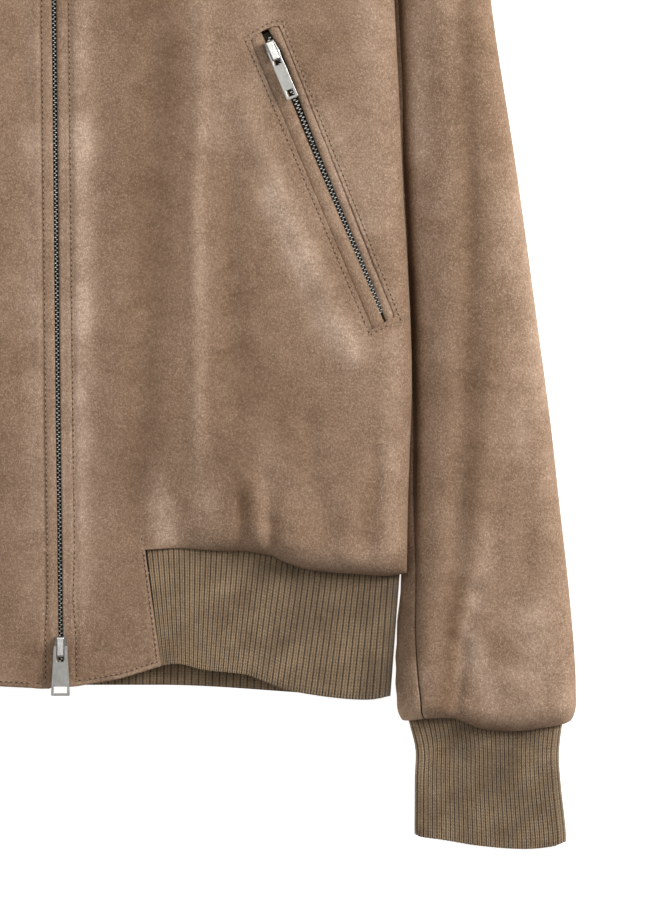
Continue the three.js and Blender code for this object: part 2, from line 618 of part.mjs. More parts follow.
// The collar is a band that goes from the zip round the neck and back, standing off the neck seam.
function collar() {
  const { half, frontColumns, seamZ, settle } = COLLAR;
  const surface = (u, v) => {
    const side = u < half ? 1 : -1;
    const k = u < half ? u : 2 * half - u;
    const inFront = k <= frontColumns;
    const turn = inFront ? quarter(k / frontColumns) : quarter((half - k) / (half - frontColumns));
    const out = Math.sin(turn);
    const across = Math.cos(turn);
    const grow = lerp(NECK_HALF - 1.2, COLLAR.topHalf, v);
    const start = inFront ? zipX(lerp(NECK_FRONT, COLLAR.frontTop, v)) * side + ZIP.edge : 0;
    const x = lerp(start, grow, out);
    const seam = inFront ? NECK_FRONT + GAP : NECK_BACK;
    const lowH = NECK_TOP + (inFront ? 0 : 1) - (NECK_TOP - seam) * across;
    const topEdge = inFront ? COLLAR.frontTop : COLLAR.backTop;
    const topH = COLLAR.sideTop - (COLLAR.sideTop - topEdge) * across;
    const backZ = seamZ * (1 - Math.sin(quarter((1 - out) * settle)));
    const z = inFront ? seamZ + (NECK_Z - seamZ) * across : backZ;
    return [x * side, lerp(lowH + GAP, topH, v), z];
  };
  const raise = column => {
    const k = column <= half ? column : half * 2 - column;
    return k > 0 && k < frontColumns && k % 2 ? RIB_RAISE : 0;
  };
  return wall(surface, steps(0, half * 2, half * 2), [0, 0.5, 1], { thick: COLLAR.wall, raise });
}

// Zips

const zipZ = h => {
  const open = frontHeight(0, Math.min(h, NECK_FRONT), 1);
  return lerp(open, NECK_Z - COLLAR.wall + WALL - 0.2, ease(NECK_FRONT - 34, NECK_FRONT - 10, h));
};

// A strip that follows the centre front, from a closed section drawn across it
function strip(section, from, to, rows) {
  const ring = section.length;
  const points = [];
  const faces = [];
  steps(from, to, rows).forEach(h => {
    section.forEach(([x, drop]) => points.push(zipX(h) + x, h, zipZ(h) - drop));
  });
  for (let j = 0; j < rows; j += 1) {
    for (let i = 0; i < ring; i += 1) {
      const a = j * ring + i;
      const b = j * ring + ((i + 1) % ring);
      faces.push(a, a + ring, b, b, a + ring, b + ring);
    }
  }
  const flat = THREE.ShapeUtils.triangulateShape(section.map(([x, d]) => new THREE.Vector2(x, -d)), []);
  flat.forEach(([a, b, c]) => {
    faces.push(a, b, c);
    faces.push(a + rows * ring, c + rows * ring, b + rows * ring);
  });
  const geometry = new THREE.BufferGeometry();
  geometry.setAttribute('position', new THREE.Float32BufferAttribute(points, 3));
  geometry.setIndex(faces);
  return geometry;
}

const BELOW = WALL + GAP;
const chainSection = () => {
  const { ridge, base, drop } = ZIP;
  return [[-base, BELOW + 2], [base, BELOW + 2], [base, BELOW + 0.2], [ridge, BELOW + 0.2], [ridge, drop],
    [-ridge, drop], [-ridge, BELOW + 0.2], [-base, BELOW + 0.2]];
};
const tapeSection = side => {
  const near = (ZIP.base + GAP) * side;
  const far = ZIP.tape * side;
  const ring = [[near, BELOW + 1.4], [far, BELOW + 1.4], [far, BELOW + 0.6], [near, BELOW + 0.6]];
  return side > 0 ? ring : ring.reverse();
};

// A slider and its pull, drawn with the pull pointing toward -Y and the chain's top at z = 0
const SLIDER = {
  half: 4, low: -4, top: 7.6, high: 2.6, bail: 1.95, bailLow: -5.4, bailHigh: 7, wall: 1.1, pin: 0.55,
};
const PULL = {
  pinZ: 4.9, thick: 1.3, topHalf: 4.1, lowHalf: 5.7, armIn: 2.3, armTop: 1.3, slot: -8.2, end: -28.7,
  corner: 1,
};
// The pocket pulls are slimmer, to lie between the lips.
const SLIM_PULL = { ...PULL, topHalf: 3.5, lowHalf: 3.7, end: -30 };
const PULL_WINDOW = { rim: 1.7, top: 5.6, low: 1.6 };

function plate(outline, depth, holes = []) {
  const points = outline.map(([x, y]) => new THREE.Vector2(x, y));
  const shape = new THREE.Shape(THREE.ShapeUtils.isClockWise(points) ? points.reverse() : points);
  holes.forEach(hole => shape.holes.push(new THREE.Path(hole.map(([x, y]) => new THREE.Vector2(x, y)))));
  return new THREE.ExtrudeGeometry(shape, { depth, bevelEnabled: false });
}

function sliderGeometry() {
  const { half, low, top, high, bail, bailLow, bailHigh, wall: thick, pin } = SLIDER;
  const [tail, nose, waist, shoulder] = [half * 0.7, half * 0.7, low + 2.5, top - 3.5];
  const body = plate([
    [-tail, low], [tail, low], [half, waist], [half, shoulder], [nose, top], [-nose, top], [-half, shoulder],
    [-half, waist],
  ], high).translate(0, 0, GAP);
  const bar = PULL.pinZ + pin + 0.45;
  const foot = high + GAP - 0.4;
  const crown = bar + thick - 0.3;
  const profile = [
    [bailLow, foot], [bailHigh, foot], [bailHigh, bar - 0.6], [bailHigh - 0.8, crown], [bailLow + 0.6, crown],
    [bailLow, bar - 0.4],
  ];
  const slot = [
    [-1.4, PULL.pinZ - pin - 0.4], [1.4, PULL.pinZ - pin - 0.4], [1.4, bar], [-1.4, bar],
  ];
  const arch = plate(profile, bail * 2, [slot]);
  arch.applyMatrix4(new THREE.Matrix4().makeBasis(
    new THREE.Vector3(0, 1, 0), new THREE.Vector3(0, 0, 1), new THREE.Vector3(1, 0, 0),
  )).translate(-bail, 0, 0);
  return geometryOf(solidOf(body).add(solidOf(arch)));
}

function pullGeometry({ pinZ, thick, topHalf, lowHalf, armIn, armTop, slot, end, corner }) {
  const outline = [
    [-topHalf, armTop], [-armIn, armTop], [-armIn, slot], [armIn, slot], [armIn, armTop], [topHalf, armTop],
    [lowHalf, end + corner], [lowHalf - corner, end], [-lowHalf + corner, end], [-lowHalf, end + corner],
  ];
  const { rim, top, low } = PULL_WINDOW;
  const open = lowHalf - rim;
  const hole = [[-open, end + top], [open, end + top], [open, end + low], [-open, end + low]];
  const tab = plate(outline, thick, [hole]).translate(0, 0, pinZ - thick / 2);
  const pin = new THREE.CylinderGeometry(SLIDER.pin, SLIDER.pin, armIn * 2 + 1, 8).rotateZ(Math.PI / 2);
  return geometryOf(solidOf(tab).add(solidOf(pin.translate(0, 0, pinZ))));
}

// Height of a front's outer face in the planform
function pocketZ(x, h, side) {
  const flat = frontHeight(x, h, side);
  const inset = read(BODY_SIDE, 'h', 'x', h) - x;
  const reach = clamp(inset / FRONT_ROLL);
  return lerp(SIDE_SEAM_Z, flat, Math.sqrt(1 - (1 - reach) ** 2));
}

// Pocket lips are rounded rolls of suede along the window, with the chain between them.
const LIP_EDGES = table('down lower upper', [
  [0, 0.33, 0.54], [0.1, 0.37, 0.68], [0.22, 0.4, 0.65], [0.48, 0.42, 0.61], [0.87, 0.52, 0.64],
  [1, 0.55, 0.6],
]);
const LIP_SIDE = 0.02;
const lipEdge = (name, clear) => down => read(LIP_EDGES, 'down', name, down) + clear;
const sideEdge = share => () => share;
const LIP = {
  lower: [sideEdge(LIP_SIDE), lipEdge('lower', -0.01)],
  upper: [lipEdge('upper', 0.01), sideEdge(1 - LIP_SIDE)],
  chain: [lipEdge('lower', 0.01), lipEdge('upper', -0.01)],
};
function pocketRoll([from, to], side, { rise, depth, rows = 8, start = 0.012, finish = 0.988 }) {
  const round = 5;
  const points = [];
  const faces = [];
  const ring = round * 2;
  steps(start, finish, rows).forEach(down => {
    for (let i = 0; i < ring; i += 1) {
      const turn = (2 * Math.PI * (i + 0.5)) / ring;
      const across = lerp(from(down), to(down), 0.5 - 0.5 * Math.cos(turn));
      const [x, h] = windowPoint(across, down);
      const z = pocketZ(x, h, side) - depth / 2 + rise + (depth / 2) * Math.sin(turn);
      points.push(x * side, h, z);
    }
  });
  for (let j = 0; j < rows; j += 1) {
    for (let i = 0; i < ring; i += 1) {
      const a = j * ring + i;
      const b = j * ring + ((i + 1) % ring);
      faces.push(a, a + ring, b, b, a + ring, b + ring);
    }
  }
  for (let i = 1; i < ring - 1; i += 1) {
    faces.push(0, i, i + 1);
    faces.push(rows * ring, rows * ring + i + 1, rows * ring + i);
  }
  for (let k = 0; side < 0 && k < faces.length; k += 3) {
    [faces[k + 1], faces[k + 2]] = [faces[k + 2], faces[k + 1]];
  }
  const geometry = new THREE.BufferGeometry();
  geometry.setAttribute('position', new THREE.Float32BufferAttribute(points, 3));
  geometry.setIndex(faces);
  return geometry;
}

// The scene graph

const group = new THREE.Group();
group.position.y = -(LOWEST + HIGHEST) / 2;

const FINISH = Object.fromEntries([
  ['suede', 0.95, 0], ['rib', 0.9, 0], ['metal', 0.35, 1], ['chain', 0.45, 0.8], ['tape', 0.9, 0],
].map(([name, roughness, metalness]) => [
  name, new THREE.MeshStandardMaterial({ color: COLOUR[name], roughness, metalness }),
]));
const add = (name, geometry, finish, parent = group) => {
  const mesh = new THREE.Mesh(geometry, FINISH[finish]);
  mesh.name = name;
  parent.add(mesh);
  return mesh;
};

add('back', back(), 'suede');
for (const side of [1, -1]) {
  const name = sideName(side);
  add(`front_${name}`, front(side), 'suede');
  add(`sleeve_${name}_upper`, sleeveUpper(side), 'suede');
  add(`sleeve_${name}_under`, sleeveLower(side), 'suede');
  add(`cuff_${name}`, cuff(side), 'rib');
  add(`zip_tape_${name}`, strip(tapeSection(side), ZIP.low, ZIP.top, ZIP.rows), 'tape');
  const roll = { rise: POCKET.lipRise, depth: POCKET.lip };
  const links = { rise: POCKET.chainRise, depth: POCKET.chain, start: 0.06, finish: 0.95 };
  add(`pocket_${name}_lip_lower`, pocketRoll(LIP.lower, side, roll), 'suede');
  add(`pocket_${name}_lip_upper`, pocketRoll(LIP.upper, side, roll), 'suede');
  add(`pocket_${name}_chain`, pocketRoll(LIP.chain, side, links), 'chain');
}
add('hem_rib', hemRib(), 'rib');
add('collar', collar(), 'rib');
for (const [name, from, to] of [
  ['lower', ZIP.low, ZIP.waist - GAP], ['middle', ZIP.waist, ZIP.chest - GAP], ['upper', ZIP.chest, ZIP.top],
]) add(`zip_chain_${name}`, strip(chainSection(), from, to, ZIP.rows / 2), 'chain');

// Sliders stand on their chains: each has a place, a turn about Z and a height.
const pocketTurn = Math.atan2(WINDOW.lowLeft[0] - WINDOW.topLeft[0], WINDOW.topLeft[1] - WINDOW.lowLeft[1]);
const sliderAt = (name, pull, x, h, z, turn) => {
  const holder = new THREE.Group();
  holder.position.set(x, h, z);
  holder.rotation.z = turn;
  group.add(holder);
  add(`slider_${name}`, sliderGeometry(), 'metal', holder);
  add(`pull_${name}`, pullGeometry(pull), 'metal', holder);
};
const { lower, upper, pocket, across } = SLIDER_PLACE;
sliderAt('lower', PULL, zipX(lower), lower, zipZ(lower), 0);
sliderAt('upper', PULL, zipX(upper), upper, NECK_Z + RIB_RAISE, 0);
for (const side of [1, -1]) {
  const [x, h] = windowPoint(across, pocket);
  const z = pocketZ(x, h, side) + POCKET.sliderRise;
  sliderAt(`pocket_${sideName(side)}`, SLIM_PULL, x * side, h, z, pocketTurn * side);
}

export default group;
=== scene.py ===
import math

import bmesh
import bpy
from mathutils import Matrix, Vector, noise


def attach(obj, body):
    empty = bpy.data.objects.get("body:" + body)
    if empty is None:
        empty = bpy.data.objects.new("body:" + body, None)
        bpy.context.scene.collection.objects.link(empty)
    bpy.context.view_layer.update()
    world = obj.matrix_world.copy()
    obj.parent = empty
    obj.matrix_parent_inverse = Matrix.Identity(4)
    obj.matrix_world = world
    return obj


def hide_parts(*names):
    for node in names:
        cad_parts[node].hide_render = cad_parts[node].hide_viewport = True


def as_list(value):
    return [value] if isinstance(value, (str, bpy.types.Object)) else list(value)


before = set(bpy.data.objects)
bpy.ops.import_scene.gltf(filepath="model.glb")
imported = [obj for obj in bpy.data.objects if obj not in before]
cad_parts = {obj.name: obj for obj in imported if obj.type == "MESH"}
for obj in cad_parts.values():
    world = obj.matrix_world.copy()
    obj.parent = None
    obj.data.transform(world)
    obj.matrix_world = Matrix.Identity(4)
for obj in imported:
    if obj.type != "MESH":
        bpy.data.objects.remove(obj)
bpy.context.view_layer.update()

# Sizes are in millimetres. h is the height up the garment from the hem at the centre front,
# x runs toward the wearer's left, and z is up from the floor.
MM = 0.001
MIDDLE = 285.9
WALL = 1.8
RIB_WALL = 2.2
COLLAR_WALL = 2.6

BODY_LOW = 70
ARMPIT = (201, 430)
SHOULDER = (221, 588)
NECK_HALF = 76
NECK_TOP = 622
NECK_FRONT = 560
NECK_BACK = 612
SIDE_SEAM_Z = 17
FRONT_ROLL = 20
BACK_ROLL = 40
LINE_ROLL = 15
LINE_Z = 14.1
CENTRE_Z = 23
NECK_Z = 19
CHEST_Z = 30
TAB_TOP = 84.2
TAB_TOP_X = 52
TAB_LOW_X = 61.4
TAB_Z = 16.3
HEM_Z = 14.2
ARMHOLE_GAP = 1.6
ZIP_EDGE = 1.35
ZIP_STITCH = 7.4
POCKET_STITCH = 2.4
ZIP_LOW, ZIP_TOP = 12, 601
ZIP_LEAN = 0.0099

PITCH = 3.2  # topstitching
TOOTH_PITCH = 2.57


def lerp(a, b, t):
    return a + (b - a) * t


def clamp(t):
    return min(1.0, max(0.0, t))


def ease(a, b, x):
    t = clamp((x - a) / (b - a))
    return t * t * (3 - 2 * t)


def quarter(t):
    return math.pi / 2 * clamp(t)


def steps(start, end, n):
    return [lerp(start, end, i / n) for i in range(n + 1)]


def joined(*lists):
    return list(lists[0]) + [x for part in lists[1:] for x in part[1:]]


def curve_through(rows):
    """A smooth curve through rows of (place, value)."""
    last = len(rows) - 1

    def at(place):
        if place <= rows[0][0]:
            return rows[0][1]
        if place >= rows[last][0]:
            return rows[last][1]
        i = 0
        while place > rows[i + 1][0]:
            i += 1

        def slope(k):
            a, b = rows[max(0, k - 1)], rows[min(last, k + 1)]
            return (b[1] - a[1]) / (b[0] - a[0])

        span = rows[i + 1][0] - rows[i][0]
        t = (place - rows[i][0]) / span
        return (
            (2 * t**3 - 3 * t**2 + 1) * rows[i][1]
            + (t**3 - 2 * t**2 + t) * span * slope(i)
            + (3 * t**2 - 2 * t**3) * rows[i + 1][1]
            + (t**3 - t**2) * span * slope(i + 1)
        )

    return at


def spot(x, h, z):
    return Vector((x, h - MIDDLE, z)) * MM


# Outlines

body_side = curve_through([
    (70, 209.4), (108, 210), (144, 211.2), (180, 212.4), (216, 211.8), (252, 210), (306, 207),
    (360, 204.6), (414, 201.9), (430, 201),
])
suede_line = curve_through([
    (52, 84.2), (72, 84.8), (101, 83), (109, 83.4), (128, 80.4), (134, 77.4), (147, 72.7),
    (163, 70.4), (181, 69.3), (198, 68.2), (209.4, 70),
])
front_hem_line = curve_through([
    (0, 0.6), (13, 2.4), (37, 6.6), (61, 14), (72, 15.4), (87, 11.9), (112, 9), (122, 5.6),
    (136, 0), (163, -4.7), (186, -6.2), (200, -4),
])
SLEEVE_ROWS = [
    (0.00, 201, 430, 221, 588, 23, 16.5, 14, 30, 30),
    (0.05, 203, 423, 236, 560, 25, 11, 12, 35, 28),
    (0.12, 200, 412, 247.5, 520, 26, 7, 11, 42, 26),
    (0.20, 199, 395, 255, 465, 27, 3.8, 11, 44, 24),
    (0.29, 199.5, 365, 261.6, 403, 27, 3, 11, 44, 24),
    (0.39, 199.5, 325, 273.6, 325, 27, 3, 11, 44, 24),
    (0.48, 202.4, 270, 281.4, 270, 27, 3, 11, 40, 24),
    (0.57, 204.7, 216, 288.6, 216, 27, 3, 11, 38, 24),
    (0.66, 206, 160, 296, 160, 27, 3, 11, 34, 24),
    (0.74, 205.8, 110, 301.5, 110, 26.5, 3, 11, 30, 24),
    (0.81, 205.8, 70, 306, 70, 26, 3, 11, 26, 24),
    (0.87, 203.2, 35, 309.3, 35, 26, 3.5, 11, 22, 22),
    (0.92, 202.4, 10, 311, 10, 25, 4.5, 10.5, 18, 18),
    (0.95, 203, -8, 311.4, -8, 24, 5, 10, 16, 16),
]
SLEEVE_COLUMNS = "ix ih ox oh thick in_z out_z in_run out_run".split()
sleeve_at = {
    name: curve_through([(row[0], row[k + 1]) for row in SLEEVE_ROWS])
    for k, name in enumerate(SLEEVE_COLUMNS)
}
SLEEVE_LAST = 0.95
sleeve_seam = curve_through([(0, 12), (0.3, 8), (0.7, 7), (0.8, 8.5), (0.88, 11.5), (1, 17)])
sleeve_line = curve_through([
    (203, -17), (207, -19), (223, -17.6), (238, -17.6), (244, -19.8), (253, -23.4), (268, -25.2),
    (283, -24.6), (294, -22.8), (304, -21), (309, -19), (312, -17),
])
cuff_inner = curve_through([(-96, 214.4), (-85, 214.4), (-54, 214.6), (-37, 215), (-19, 210.8)])
cuff_outer = curve_through([(-96, 305.2), (-85, 305), (-54, 301.7), (-37, 300.9), (-19, 303)])
cuff_low = curve_through([
    (214, -87), (218, -88.8), (231, -90.6), (253, -94.2), (279, -96.2), (296, -94.8), (305, -91.8),
])

# Folds: a soft line from (x0, h0) to (x1, h1), its half width and its height
FOLDS = {
    1: [
        (58, 395, 55, 230, 13, -2.4), (55, 230, 44, 95, 10, -2.6), (88, 408, 82, 294, 5, 1.6),
        (82, 294, 84, 140, 5, 1.8), (109, 354, 136, 294, 8, 2.2), (136, 294, 157, 246, 10, 3),
        (157, 246, 176, 202, 9, 2.8), (102, 310, 107, 170, 10, -1.9), (13, 540, 13, 200, 7, 1.6),
        (61, 128, 60, 96, 7, 0.9), (85, 130, 85, 100, 8, 0.9), (109, 112, 110, 84, 4, -2.2),
        (125, 126, 127, 102, 6, -1.8), (127, 102, 128, 78, 4, -3.6), (119, 120, 120, 100, 6, 1.2),
        (120, 100, 121, 82, 4.5, 1.8), (138, 106, 142, 90, 9, 1.8), (71, 98, 71, 82, 2.6, -1.3),
        (88, 112, 88, 92, 9, 1.2), (62, 108, 66, 92, 8, 1.2), (176, 108, 173, 80, 6, 1.7),
        (190, 140, 186, 86, 6, -2.4), (150, 160, 158, 100, 8, -1.6), (60, 540, 110, 430, 14, -2),
        (150, 560, 190, 450, 12, -2.2),
    ],
    -1: [
        (62, 390, 58, 240, 13, -2.2), (58, 240, 50, 100, 10, -2.4), (92, 400, 88, 290, 5, 1.6),
        (88, 290, 90, 150, 5, 1.6), (111, 350, 138, 290, 8, 2.2), (138, 290, 176, 204, 10, 2.8),
        (106, 300, 112, 180, 10, -1.8), (11, 540, 10, 200, 7, 1.2), (66, 126, 66, 94, 5, 1.6),
        (92, 122, 92, 96, 6, 1.5), (117, 112, 118, 82, 4, -2.6), (140, 110, 140, 76, 4, -2.8),
        (129, 120, 129, 98, 4, 1.4), (170, 108, 168, 80, 6, 1.7), (184, 136, 181, 86, 6, -2.2),
        (66, 540, 116, 430, 14, -2), (154, 560, 192, 450, 12, -2.2),
    ],
    0: [  # sleeves
        (243, 420, 246, 250, 7, -2.4), (246, 250, 238, 80, 7, -2.2), (251, 58, 243, 28, 6, -3),
        (243, 28, 238, -12, 5, -4), (262, 206, 253, 114, 8, 2), (253, 114, 248, 30, 8, 2.2),
        (283, 180, 282, 70, 7, -1.8), (228, 500, 236, 440, 9, -1.8), (222, 40, 226, -6, 6, 1.4),
        (272, 4, 284, -6, 9, 1.6),
    ],
}


# Painted light and shade, partly the nap's own tone: a soft band from (x0, h0) to (x1, h1), its half width
# and how much brighter it paints the colour (below zero, darker)
NAP_AND_PAINTED_LIGHT_LEFT = [
    (13.8, 560, 13.8, 100, 6, 0.26), (15, 560, 15, 330, 9, 0.38), (13.5, 330, 13.5, 40, 9, 0.36),
    (-8, 200, -8, 0, 12, 0.1), (85, 560, 84, 130, 6, 0.26), (60, 560, 57, 300, 17, -0.24),
    (54, 276, 50, 160, 14, -0.16), (47, 150, 44, 92, 8, -0.12), (61, 128, 60, 96, 6, 0.2),
    (62, 110, 66, 93, 9, 0.6), (88, 116, 88, 92, 9, 0.62), (145, 80, 190, 76, 8, 0.26),
    (102, 118, 103, 92, 6, 0.12), (34, 400, 32, 60, 9, 0.04), (113, 122, 111, 94, 5, -0.18),
    (126, 140, 125, 104, 7, 0.12), (113, 264, 114, 172, 15, -0.14), (110, 146, 108, 92, 8, -0.16),
    (95, 560, 98, 330, 12, 0.24), (120, 430, 124, 368, 12, 0.32), (102, 300, 104, 205, 9, -0.14),
    (116, 342, 163, 216, 9, 0.3), (129, 296, 146, 254, 10, 0.46), (151, 241, 170, 212, 12, 0.42),
    (172, 208, 194, 200, 10, 0.12), (163, 216, 174, 184, 9, 0.12), (161, 345, 172, 300, 9, 0.3),
    (184, 560, 188, 280, 12, 0.3), (168, 214, 180, 200, 9, 0.2), (168, 262, 172, 236, 9, -0.12),
    (202, 212, 201, 84, 7, 0.26), (200, 414, 203, 200, 5, 0.1), (185, 110, 185, 94, 6, -0.16),
    (130, 200, 150, 120, 14, -0.08), (96, 170, 98, 104, 7, -0.08), (150, 120, 176, 96, 9, 0.08),
    (70, 470, 150, 430, 16, -0.08), (2.6, 560, 3.2, 0, 1.6, 0.3), (2, 1.6, 13, 3.2, 2, 0.24),
    (13, 3.2, 37, 7.4, 2, 0.24), (37, 7.4, 61, 15.2, 2, 0.24), (60, 16, 51, 84, 1.6, 0.16),
    (114, 390, 186, 216, 1.8, 0.16), (135, 398, 204, 224, 2, 0.16),
]
BESIDE_ZIP = 20
# The right front's painted light and shade: the left front's bands, moved a little, wider and weaker
NAP_AND_PAINTED_LIGHT_RIGHT = [
    (
        x0 - 3 if x0 > BESIDE_ZIP else x0, h0, x1 + 2 if x1 > BESIDE_ZIP else x1, h1,
        wide * 1.05, tone * (0.92 if x0 > BESIDE_ZIP else 0.5),
    )
    for x0, h0, x1, h1, wide, tone in NAP_AND_PAINTED_LIGHT_LEFT
]
# Painted light and shade on the sleeves, partly the nap's own tone
NAP_AND_PAINTED_LIGHT_SLEEVE = [
    (268, 310, 276, 150, 9, 0.2), (222.6, 420, 222.6, 190, 6, 0.1), (214, 420, 216, 320, 6, 0.34),
    (233, 420, 232, 200, 7, 0.16), (247, 420, 247, 100, 11, -0.14), (258, 98, 250, 54, 7, 0.24),
    (250, 54, 244, 36, 6, 0.26), (244, 36, 240, -4, 5, 0.2), (242, 66, 238, 34, 5, -0.3),
    (238, 34, 233, -10, 5, -0.34), (276, 420, 288, 220, 12, 0.14), (284, 310, 292, 180, 12, 0.28),
    (288, 220, 304, 40, 12, 0.18), (268, 160, 272, 30, 9, 0.08), (212, 250, 211, 120, 7, -0.12),
    (216, 12, 216, -14, 6, 0.3), (228, 560, 240, 440, 9, -0.12), (249, 22, 258, -8, 9, 0.55),
    (246, -10, 276, -20, 5, 0.3), (217, 400, 217, 150, 6, 0.16), (285, 42, 290, -12, 12, 0.46),
    (273, 10, 273, -11, 7, 0.2), (305, 20, 305, -12, 7, 0.28), (226, 200, 224, 60, 8, 0.08),
    (256, -22, 268, -22, 9, -0.2), (284, -24, 300, -21, 5, -0.24),
]
# Painted shade on the rib knit: under the suede's edge on the hem and the cuffs, at the hem's end by the
# side, along the hem's lower edge and the cuffs' sides, and a slight overall darkening
PAINTED_SHADE_RIB = [
    (56, 78, 210, 66, 5, -0.22), (150, 44, 152, 36, 34, -0.16), (190, 62, 190, 0, 10, -0.4),
    (204, 64, 203, 0, 8, -0.85), (56, 2, 96, 2, 7, -0.26), (0, 4, 50, 4, 6, -0.1),
    (262, -40, 262, -84, 44, -0.1), (150, 70, 150, 4, 60, -0.05), (225, -26, 300, -30, 6, -0.3),
    (262, -62, 278, -70, 30, -0.2), (220, -40, 220, -90, 6, -0.1), (304, -30, 306, -90, 5, -0.16),
]
# Where the sleeve gets a painted shadow, in the gap beside the body's edge
shaded_edge = curve_through([
    (60, 213), (102, 213), (162, 214), (234, 212.5), (294, 209), (378, 205), (430, 204),
])
SLEEVE, KNIT = 0, 2
NAP_AND_PAINTED_LIGHT = {1: NAP_AND_PAINTED_LIGHT_LEFT, -1: NAP_AND_PAINTED_LIGHT_RIGHT, SLEEVE: NAP_AND_PAINTED_LIGHT_SLEEVE, KNIT: PAINTED_SHADE_RIB}


def off_line(x0, h0, x1, h1, x, h):
    """How far a place is from a straight line between two points."""
    dx, dh = x1 - x0, h1 - h0
    t = clamp(((x - x0) * dx + (h - h0) * dh) / (dx * dx + dh * dh))
    return math.hypot(x - x0 - dx * t, h - h0 - dh * t)


def band_strengths(bands, x, h):
    """What each band gives at a place, strongest along its own line."""
    for x0, h0, x1, h1, wide, high in bands:
        far = off_line(x0, h0, x1, h1, x, h) / wide
        if far < 3:
            yield high * math.exp(-far * far)


def fold_height(folds, x, h):
    """Ridges and troughs that run on into each other, with no bump where two of them meet."""
    up = down = 0.0
    for high in band_strengths(folds, x, h):
        if high > 0:
            up += high**3
        else:
            down -= high**3
    return up ** (1 / 3) - down ** (1 / 3)


def streaks(key, x, h):
    """The painted light and shade at a place, partly the nap's own tone: the listed bands broken up by
    noise, painted light made stronger, and a little random tone.
    """
    broken = 0.75 + 0.5 * noise.noise(Vector((x, h, 77)) / 22)
    tone = sum(band_strengths(NAP_AND_PAINTED_LIGHT[key], x, h)) * broken
    return tone * (1.35 if tone > 0 else 1.0) + 0.1 * noise.noise(Vector((x, h, 88 + key)) / 40)


def sleeve_nap_and_painted_shade(u, v, x, h):
    """The sleeve's nap and painted light and shade, with a painted shadow where the sleeve dips beside the
    body.
    """
    painted_gap_shadow = math.exp(-(((x - shaded_edge(h)) / 3.6) ** 2)) * ease(50, 110, h) * (1 - ease(400, 470, h))
    return streaks(SLEEVE, x, h) - 0.9 * painted_gap_shadow


def zip_x(h):
    return 1.56 - ZIP_LEAN * h


def front_hem(x, side):
    h = front_hem_line(x)
    return (h * 0.3 if side < 0 and h > 0 else h) + 2.4 * (1 - ease(2.5, 5.5, x))


# Body

TAB_SHARE = 0.24
FRONT_WIDE, FRONT_LONG = 207.5, 500
FRONT_U_TAB, FRONT_U_FLAT = 0.3, 0.8
FRONT_V_LOW, FRONT_V_HIGH = 0.08, 0.92
ARMPIT_B = 0.694
HPS_A = 0.36


def side_point(b):
    if b <= ARMPIT_B:
        h = lerp(BODY_LOW, ARMPIT[1], b / ARMPIT_B)
        return body_side(h), h
    s = (b - ARMPIT_B) / (1 - ARMPIT_B)
    return lerp(ARMPIT[0], SHOULDER[0], s), lerp(ARMPIT[1], SHOULDER[1], s)


def top_point(a, arc_low, start_x=0.0):
    if a < HPS_A:
        turn = quarter(a / HPS_A)
        return (
            lerp(start_x, NECK_HALF, math.sin(turn)),
            NECK_TOP - (NECK_TOP - arc_low) * math.cos(turn),
        )
    t = (a - HPS_A) / (1 - HPS_A)
    return lerp(NECK_HALF, SHOULDER[0], t), lerp(NECK_TOP, SHOULDER[1], t)


def planform(a, b, low, top, left, right):
    """A place inside four edges, by its share across and its share up."""
    L, R, B, T = left(b), right(b), low(a), top(a)
    c = (low(0), low(1), top(0), top(1))
    return [
        (1 - a) * L[k] + a * R[k] + (1 - b) * B[k] + b * T[k]
        - (1 - a) * (1 - b) * c[0][k] - a * (1 - b) * c[1][k]
        - (1 - a) * b * c[2][k] - a * b * c[3][k]
        for k in (0, 1)
    ]


def sleeve_top(v, s, length):
    q = clamp(s * length / sleeve_at["in_run"](v))
    rise = 0.6 * math.sin(quarter(q)) + 0.4 * math.sqrt(1 - (1 - q) ** 2)
    z = lerp(sleeve_at["in_z"](v), sleeve_at["thick"](v), rise)
    w = clamp((1 - s) * length / sleeve_at["out_run"](v))
    return lerp(sleeve_at["out_z"](v), z, math.sqrt(1 - (1 - w) ** 2))


def sleeve_under(v, s, length):
    near = 1 - ease(0, 0.14, v)
    a = 1 - clamp(s * length / lerp(6, 26, near))
    b = 1 - clamp((1 - s) * length / lerp(12, 26, near))
    return sleeve_at["in_z"](v) * (1 - math.sqrt(1 - a * a)) + sleeve_at["out_z"](v) * (
        1 - math.sqrt(1 - b * b)
    )


ARMHOLE_LENGTH = math.hypot(SHOULDER[0] - ARMPIT[0], SHOULDER[1] - ARMPIT[1])


def shoulder_z(a):
    return lerp(10, 14, clamp((a - HPS_A) / (1 - HPS_A)))


def front_height(x, h, side):
    crown = lerp(CENTRE_Z, CHEST_Z, ease(5, 80, x)) - 4 * ease(400, 520, h)
    sag = (1 - ease(80, 175, h)) * (1 - ease(58, 125, x))
    settled = lerp(crown, TAB_Z, sag) + fold_height(FOLDS[side], x, h) * (1 - 0.6 * sag)
    if h < TAB_TOP:
        settled -= (TAB_Z - HEM_Z) * clamp(1 - h / TAB_TOP)
    return settled


# The pocket's window in the planform, and what it holds, as shares of its width
WINDOW = {
    "top_left": (115.2, 389.2), "top_right": (133, 397.8),
    "low_right": (202.2, 223.8), "low_left": (188.4, 216),
}
WINDOW_MIDDLE = (158, 307)
WINDOW_WAY = (0.92, 0.391)  # across the window
TOP_BOW = 3
low_lip = curve_through([(0, 0.33), (0.1, 0.37), (0.22, 0.4), (0.48, 0.42), (0.87, 0.52), (1, 0.55)])
high_lip = curve_through([(0, 0.54), (0.1, 0.68), (0.22, 0.65), (0.48, 0.61), (0.87, 0.64), (1, 0.6)])


